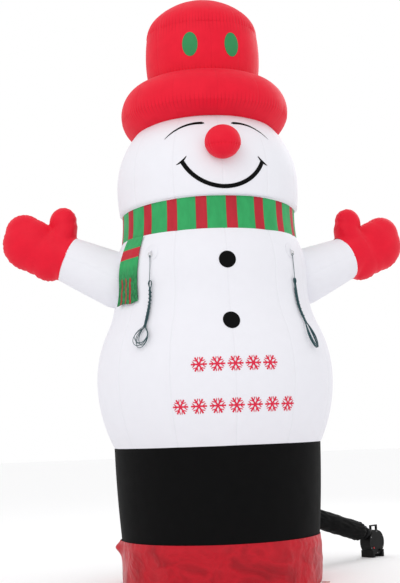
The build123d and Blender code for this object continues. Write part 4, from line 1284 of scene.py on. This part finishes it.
# ---- ground tabs ---------------------------------------------------------------------
GROUND_TABS, EYELET_ACROSS, EYELET_HOLE = 8, 1.0426, 0.0085
tabs = []
for step in range(GROUND_TABS):
    put_down()
    bpy.ops.mesh.primitive_circle_add(vertices=32, radius=EYELET_HOLE, location=(0, 0, 0))
    tab = bpy.context.object
    settle(tab)
    edit(tab)
    bpy.ops.mesh.select_all(action="SELECT")
    for size in (1.55, 1.45):
        bpy.ops.mesh.extrude_region_move()
        bpy.ops.transform.resize(value=(size, size, 1), center_override=(0, 0, 0))
    bpy.ops.object.mode_set(mode="OBJECT")
    flat = places(tab)
    rim = np.hypot(flat[:, 0], flat[:, 1]) > 0.018
    turn = np.arctan2(flat[:, 1], flat[:, 0])
    square = np.minimum(1 / np.maximum(np.abs(np.cos(turn)), 1e-6),
                        1 / np.maximum(np.abs(np.sin(turn)), 1e-6))
    square = 0.25 + 0.75 * np.minimum(square, 1.33)
    flat[rim, 0] = np.cos(turn[rim]) * square[rim] * 0.0235
    flat[rim, 1] = np.sin(turn[rim]) * square[rim] * 0.0265
    inner = rim & (flat[:, 0] < -0.008)
    flat[inner, 0] -= 0.030
    flat[:, 2] = 0.0026 + 0.0006 * np.sin(60 * flat[:, 1])
    move_to(tab, flat + np.array([EYELET_ACROSS, 0, 0]))
    tidy(tab)
    if tab.data.polygons[0].normal.z < 0:
        edit(tab)
        bpy.ops.mesh.select_all(action="SELECT")
        bpy.ops.mesh.flip_normals()
        bpy.ops.object.mode_set(mode="OBJECT")
    thicken(tab, 0.002)
    smooth(tab, 40)
    tab.matrix_world = Matrix.Rotation(radians(45 * step + 22.5), 4, "Z")
    settle(tab)
    tabs.append(tab)
made_piece(joined("ground_tab_cloth", *tabs), skirt_satin, "skirt_cloth", "root", "ground_tabs")


# ---- ropes ---------------------------------------------------------------------------
ROPE = 0.006
HITCH_FOOT = 3.17
DROPS = {"left": [(RING_ACROSS, HITCH_FOOT), (0.9935, 3.104), (0.999, 3.04), (1.001, 2.95)],
         "right": [(RING_ACROSS, HITCH_FOOT), (0.994, 3.104), (1.0, 3.032), (1.002, 2.95)]}
HANKS = {"left": [(1.001, 2.95), (1.003, 2.86), (1.01, 2.77),
                  (1.033, 2.672), (1.068, 2.58), (1.104, 2.5)],
         "right": [(1.002, 2.95), (1.004, 2.868), (1.011, 2.78),
                   (1.03, 2.69), (1.06, 2.606), (1.1, 2.516)]}
STRANDS = [(-1.5, 0.87), (-0.5, 0.87), (0.5, 0.87), (1.5, 0.87), (1.0, 0.0), (0.0, 0.0), (-1.0, 0.0),
           (-1.5, -0.87), (-0.5, -0.87), (0.5, -0.87), (1.5, -0.87)]


class Hank:
    """The middle line of a hank, with its sideways and outward directions."""

    def __init__(self, azimuth, places_along):
        self.side = Vector((cos(radians(azimuth)), sin(radians(azimuth)), 0))
        self.out = Vector((sin(radians(azimuth)), -cos(radians(azimuth)), 0))
        self.line = np.array(places_along)
        steps = np.hypot(*np.diff(self.line, axis=0).T)
        self.along = np.concatenate([[0], np.cumsum(steps)])
        self.length = float(self.along[-1])

    def at(self, along, sideways=0.0, outwards=0.0):
        """A point along the line; beyond its end it carries straight on."""
        held = min(along, self.length)
        across, up = (float(np.interp(held, self.along, self.line[:, i])) for i in (0, 1))
        last = self.line[-1] - self.line[-2]
        last = last / np.hypot(*last)
        beyond = along - held
        across, up = across + beyond * last[0], up + beyond * last[1]
        lean = Vector((-last[1], last[0])) if along > 0.25 else Vector((1.0, 0.0))
        return (self.out * (across + outwards * abs(lean[0])) + self.side * sideways
                + Vector((0, 0, up + outwards * lean[1])))


def hank_points(side_name, azimuth, loops):
    """Drop, then turns: down the bundle, round an open loop, up, and round the eye."""
    hank = Hank(azimuth, HANKS[side_name])
    out = [hank.out * across + Vector((0, 0, up)) for across, up in DROPS[side_name][:-1]]
    bound_from, bound_to = 0.085, hank.length
    for number, (width, length, forward, lean) in enumerate(loops):
        down, up = STRANDS[2 * number], STRANDS[2 * number + 1]
        for step in range(5):
            share = step / 4
            twist = 2.2 * share + 0.2
            place = bound_from + (bound_to - bound_from) * share
            out.append(hank.at(place, *turned_by(down, twist, bulged(share))))
        for sideways, along in ((-0.62, 0.22), (-1.0, 0.58), (-0.66, 0.90), (0.0, 1.02),
                                (0.66, 0.90), (1.0, 0.58), (0.62, 0.22)):
            out.append(hank.at(hank.length + along * length, sideways * width / 2 + lean * along,
                               forward * sin(pi * min(along, 1) / 1.3)))
        for step in range(5):
            share = 1 - step / 4
            twist = 2.2 * share + 0.2
            place = bound_from + (bound_to - bound_from) * share
            out.append(hank.at(place, *turned_by(up, twist, bulged(share))))
        if number < len(loops) - 1:
            spread = 0.0185 + 0.0015 * number
            for sideways, along in ((0.9, 0.045), (0.75, 0.014), (0.0, -0.001 - 0.001 * number),
                                    (-0.75, 0.014), (-0.9, 0.045)):
                out.append(hank.at(along, sideways * spread, 0.0035 * (number - 2)))
    turns, winding = 8, 0.30
    for step in range(turns * 12 + 1):
        share = step / (turns * 12)
        angle = 2 * pi * turns * share + 2.0
        out.append(hank.at(bound_from + 0.012 + winding * share,
                           0.0158 * cos(angle), 0.0125 * sin(angle)))
    return out


def bulged(share):
    return 1.0 + 0.12 * sin(pi * share)


def turned_by(strand, twist, spread):
    x, y = strand[0] * ROPE * 1.02 * spread, strand[1] * ROPE * 1.02 * spread
    return x * cos(twist) - y * sin(twist), x * sin(twist) + y * cos(twist)


def make_rope(name, points):
    line = bpy.data.curves.new(name, "CURVE")
    line.dimensions = "3D"
    line.bevel_depth = ROPE / 2
    line.bevel_resolution = 2
    line.resolution_u = 6
    line.use_fill_caps = True
    spline = line.splines.new("NURBS")
    spline.points.add(len(points) - 1)
    for point, place in zip(spline.points, points):
        point.co = (*place, 1.0)
    spline.order_u = 3
    spline.use_endpoint_u = True
    rope = bpy.data.objects.new(name, line)
    bpy.context.scene.collection.objects.link(rope)
    return rope


WHISK = [(0.185, 0.205, 0.010, -0.020), (0.140, 0.222, -0.012, -0.004), (0.170, 0.185, 0.030, 0.012),
         (0.110, 0.200, 0.000, 0.026), (0.152, 0.170, -0.018, -0.030)]
LONG_LOOP = [(0.096, 0.285, 0.0, 0.0), (0.098, 0.290, 0.0065, 0.001), (0.094, 0.280, -0.0065, -0.001),
             (0.097, 0.276, 0.013, 0.001), (0.092, 0.288, -0.013, 0.0)]

for side_name, azimuth, loops in (("left", -45, WHISK), ("right", 45, LONG_LOOP)):
    points = hank_points(side_name, azimuth, loops)
    rope = make_rope("tether_rope_" + side_name, points)
    rope_teal.on(rope)
    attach(rope, "tether_" + side_name)
    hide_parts("tether_line_" + side_name, "tether_hank_" + side_name)


# ---- CAD parts left showing, floor and light -----------------------------------------
for part in frame["record"]["subparts"]:
    node = frame["nodes"][part["node"]]
    slot = part["material_slot"]
    finish = hard_finishes.get(slot) or hidden_cloths[slot]
    finish.on(node)


def lay_floor():
    put_down()
    bpy.ops.mesh.primitive_circle_add(vertices=96, radius=60.0, fill_type="NGON")
    floor = bpy.context.object
    floor.name = "floor"
    made = bpy.data.materials.new("pale floor")
    made.use_nodes = True
    shader = made.node_tree.nodes["Principled BSDF"]
    shader.inputs["Base Color"].default_value = (0.95, 0.95, 0.955, 1)
    shader.inputs["Roughness"].default_value = 0.9
    floor.data.materials.append(made)
    floor.location.z = -0.001


def light(name, place, aim, size, power, colour=(1, 1, 1)):
    lamp = bpy.data.lights.new(name, "AREA")
    lamp.shape = "DISK"
    lamp.size = size
    lamp.energy = power
    lamp.color = colour
    made = bpy.data.objects.new(name, lamp)
    bpy.context.scene.collection.objects.link(made)
    made.location = place
    made.rotation_euler = (Vector(aim) - Vector(place)).to_track_quat("-Z", "Y").to_euler()


def set_world():
    world = bpy.data.worlds.new("studio")
    bpy.context.scene.world = world
    world.use_nodes = True
    back = world.node_tree.nodes["Background"]
    back.inputs[0].default_value = (1.0, 1.0, 1.0, 1.0)
    back.inputs[1].default_value = 1.0


lay_floor()
set_world()
light("key", (-5.0, -9.0, 10.0), (0, 0, 3.0), 6.0, 190, (1.0, 0.98, 0.97))
light("rim", (6.0, 6.0, 8.0), (0, 0, 3.5), 5.0, 160)
bpy.context.scene.view_settings.view_transform = "Standard"
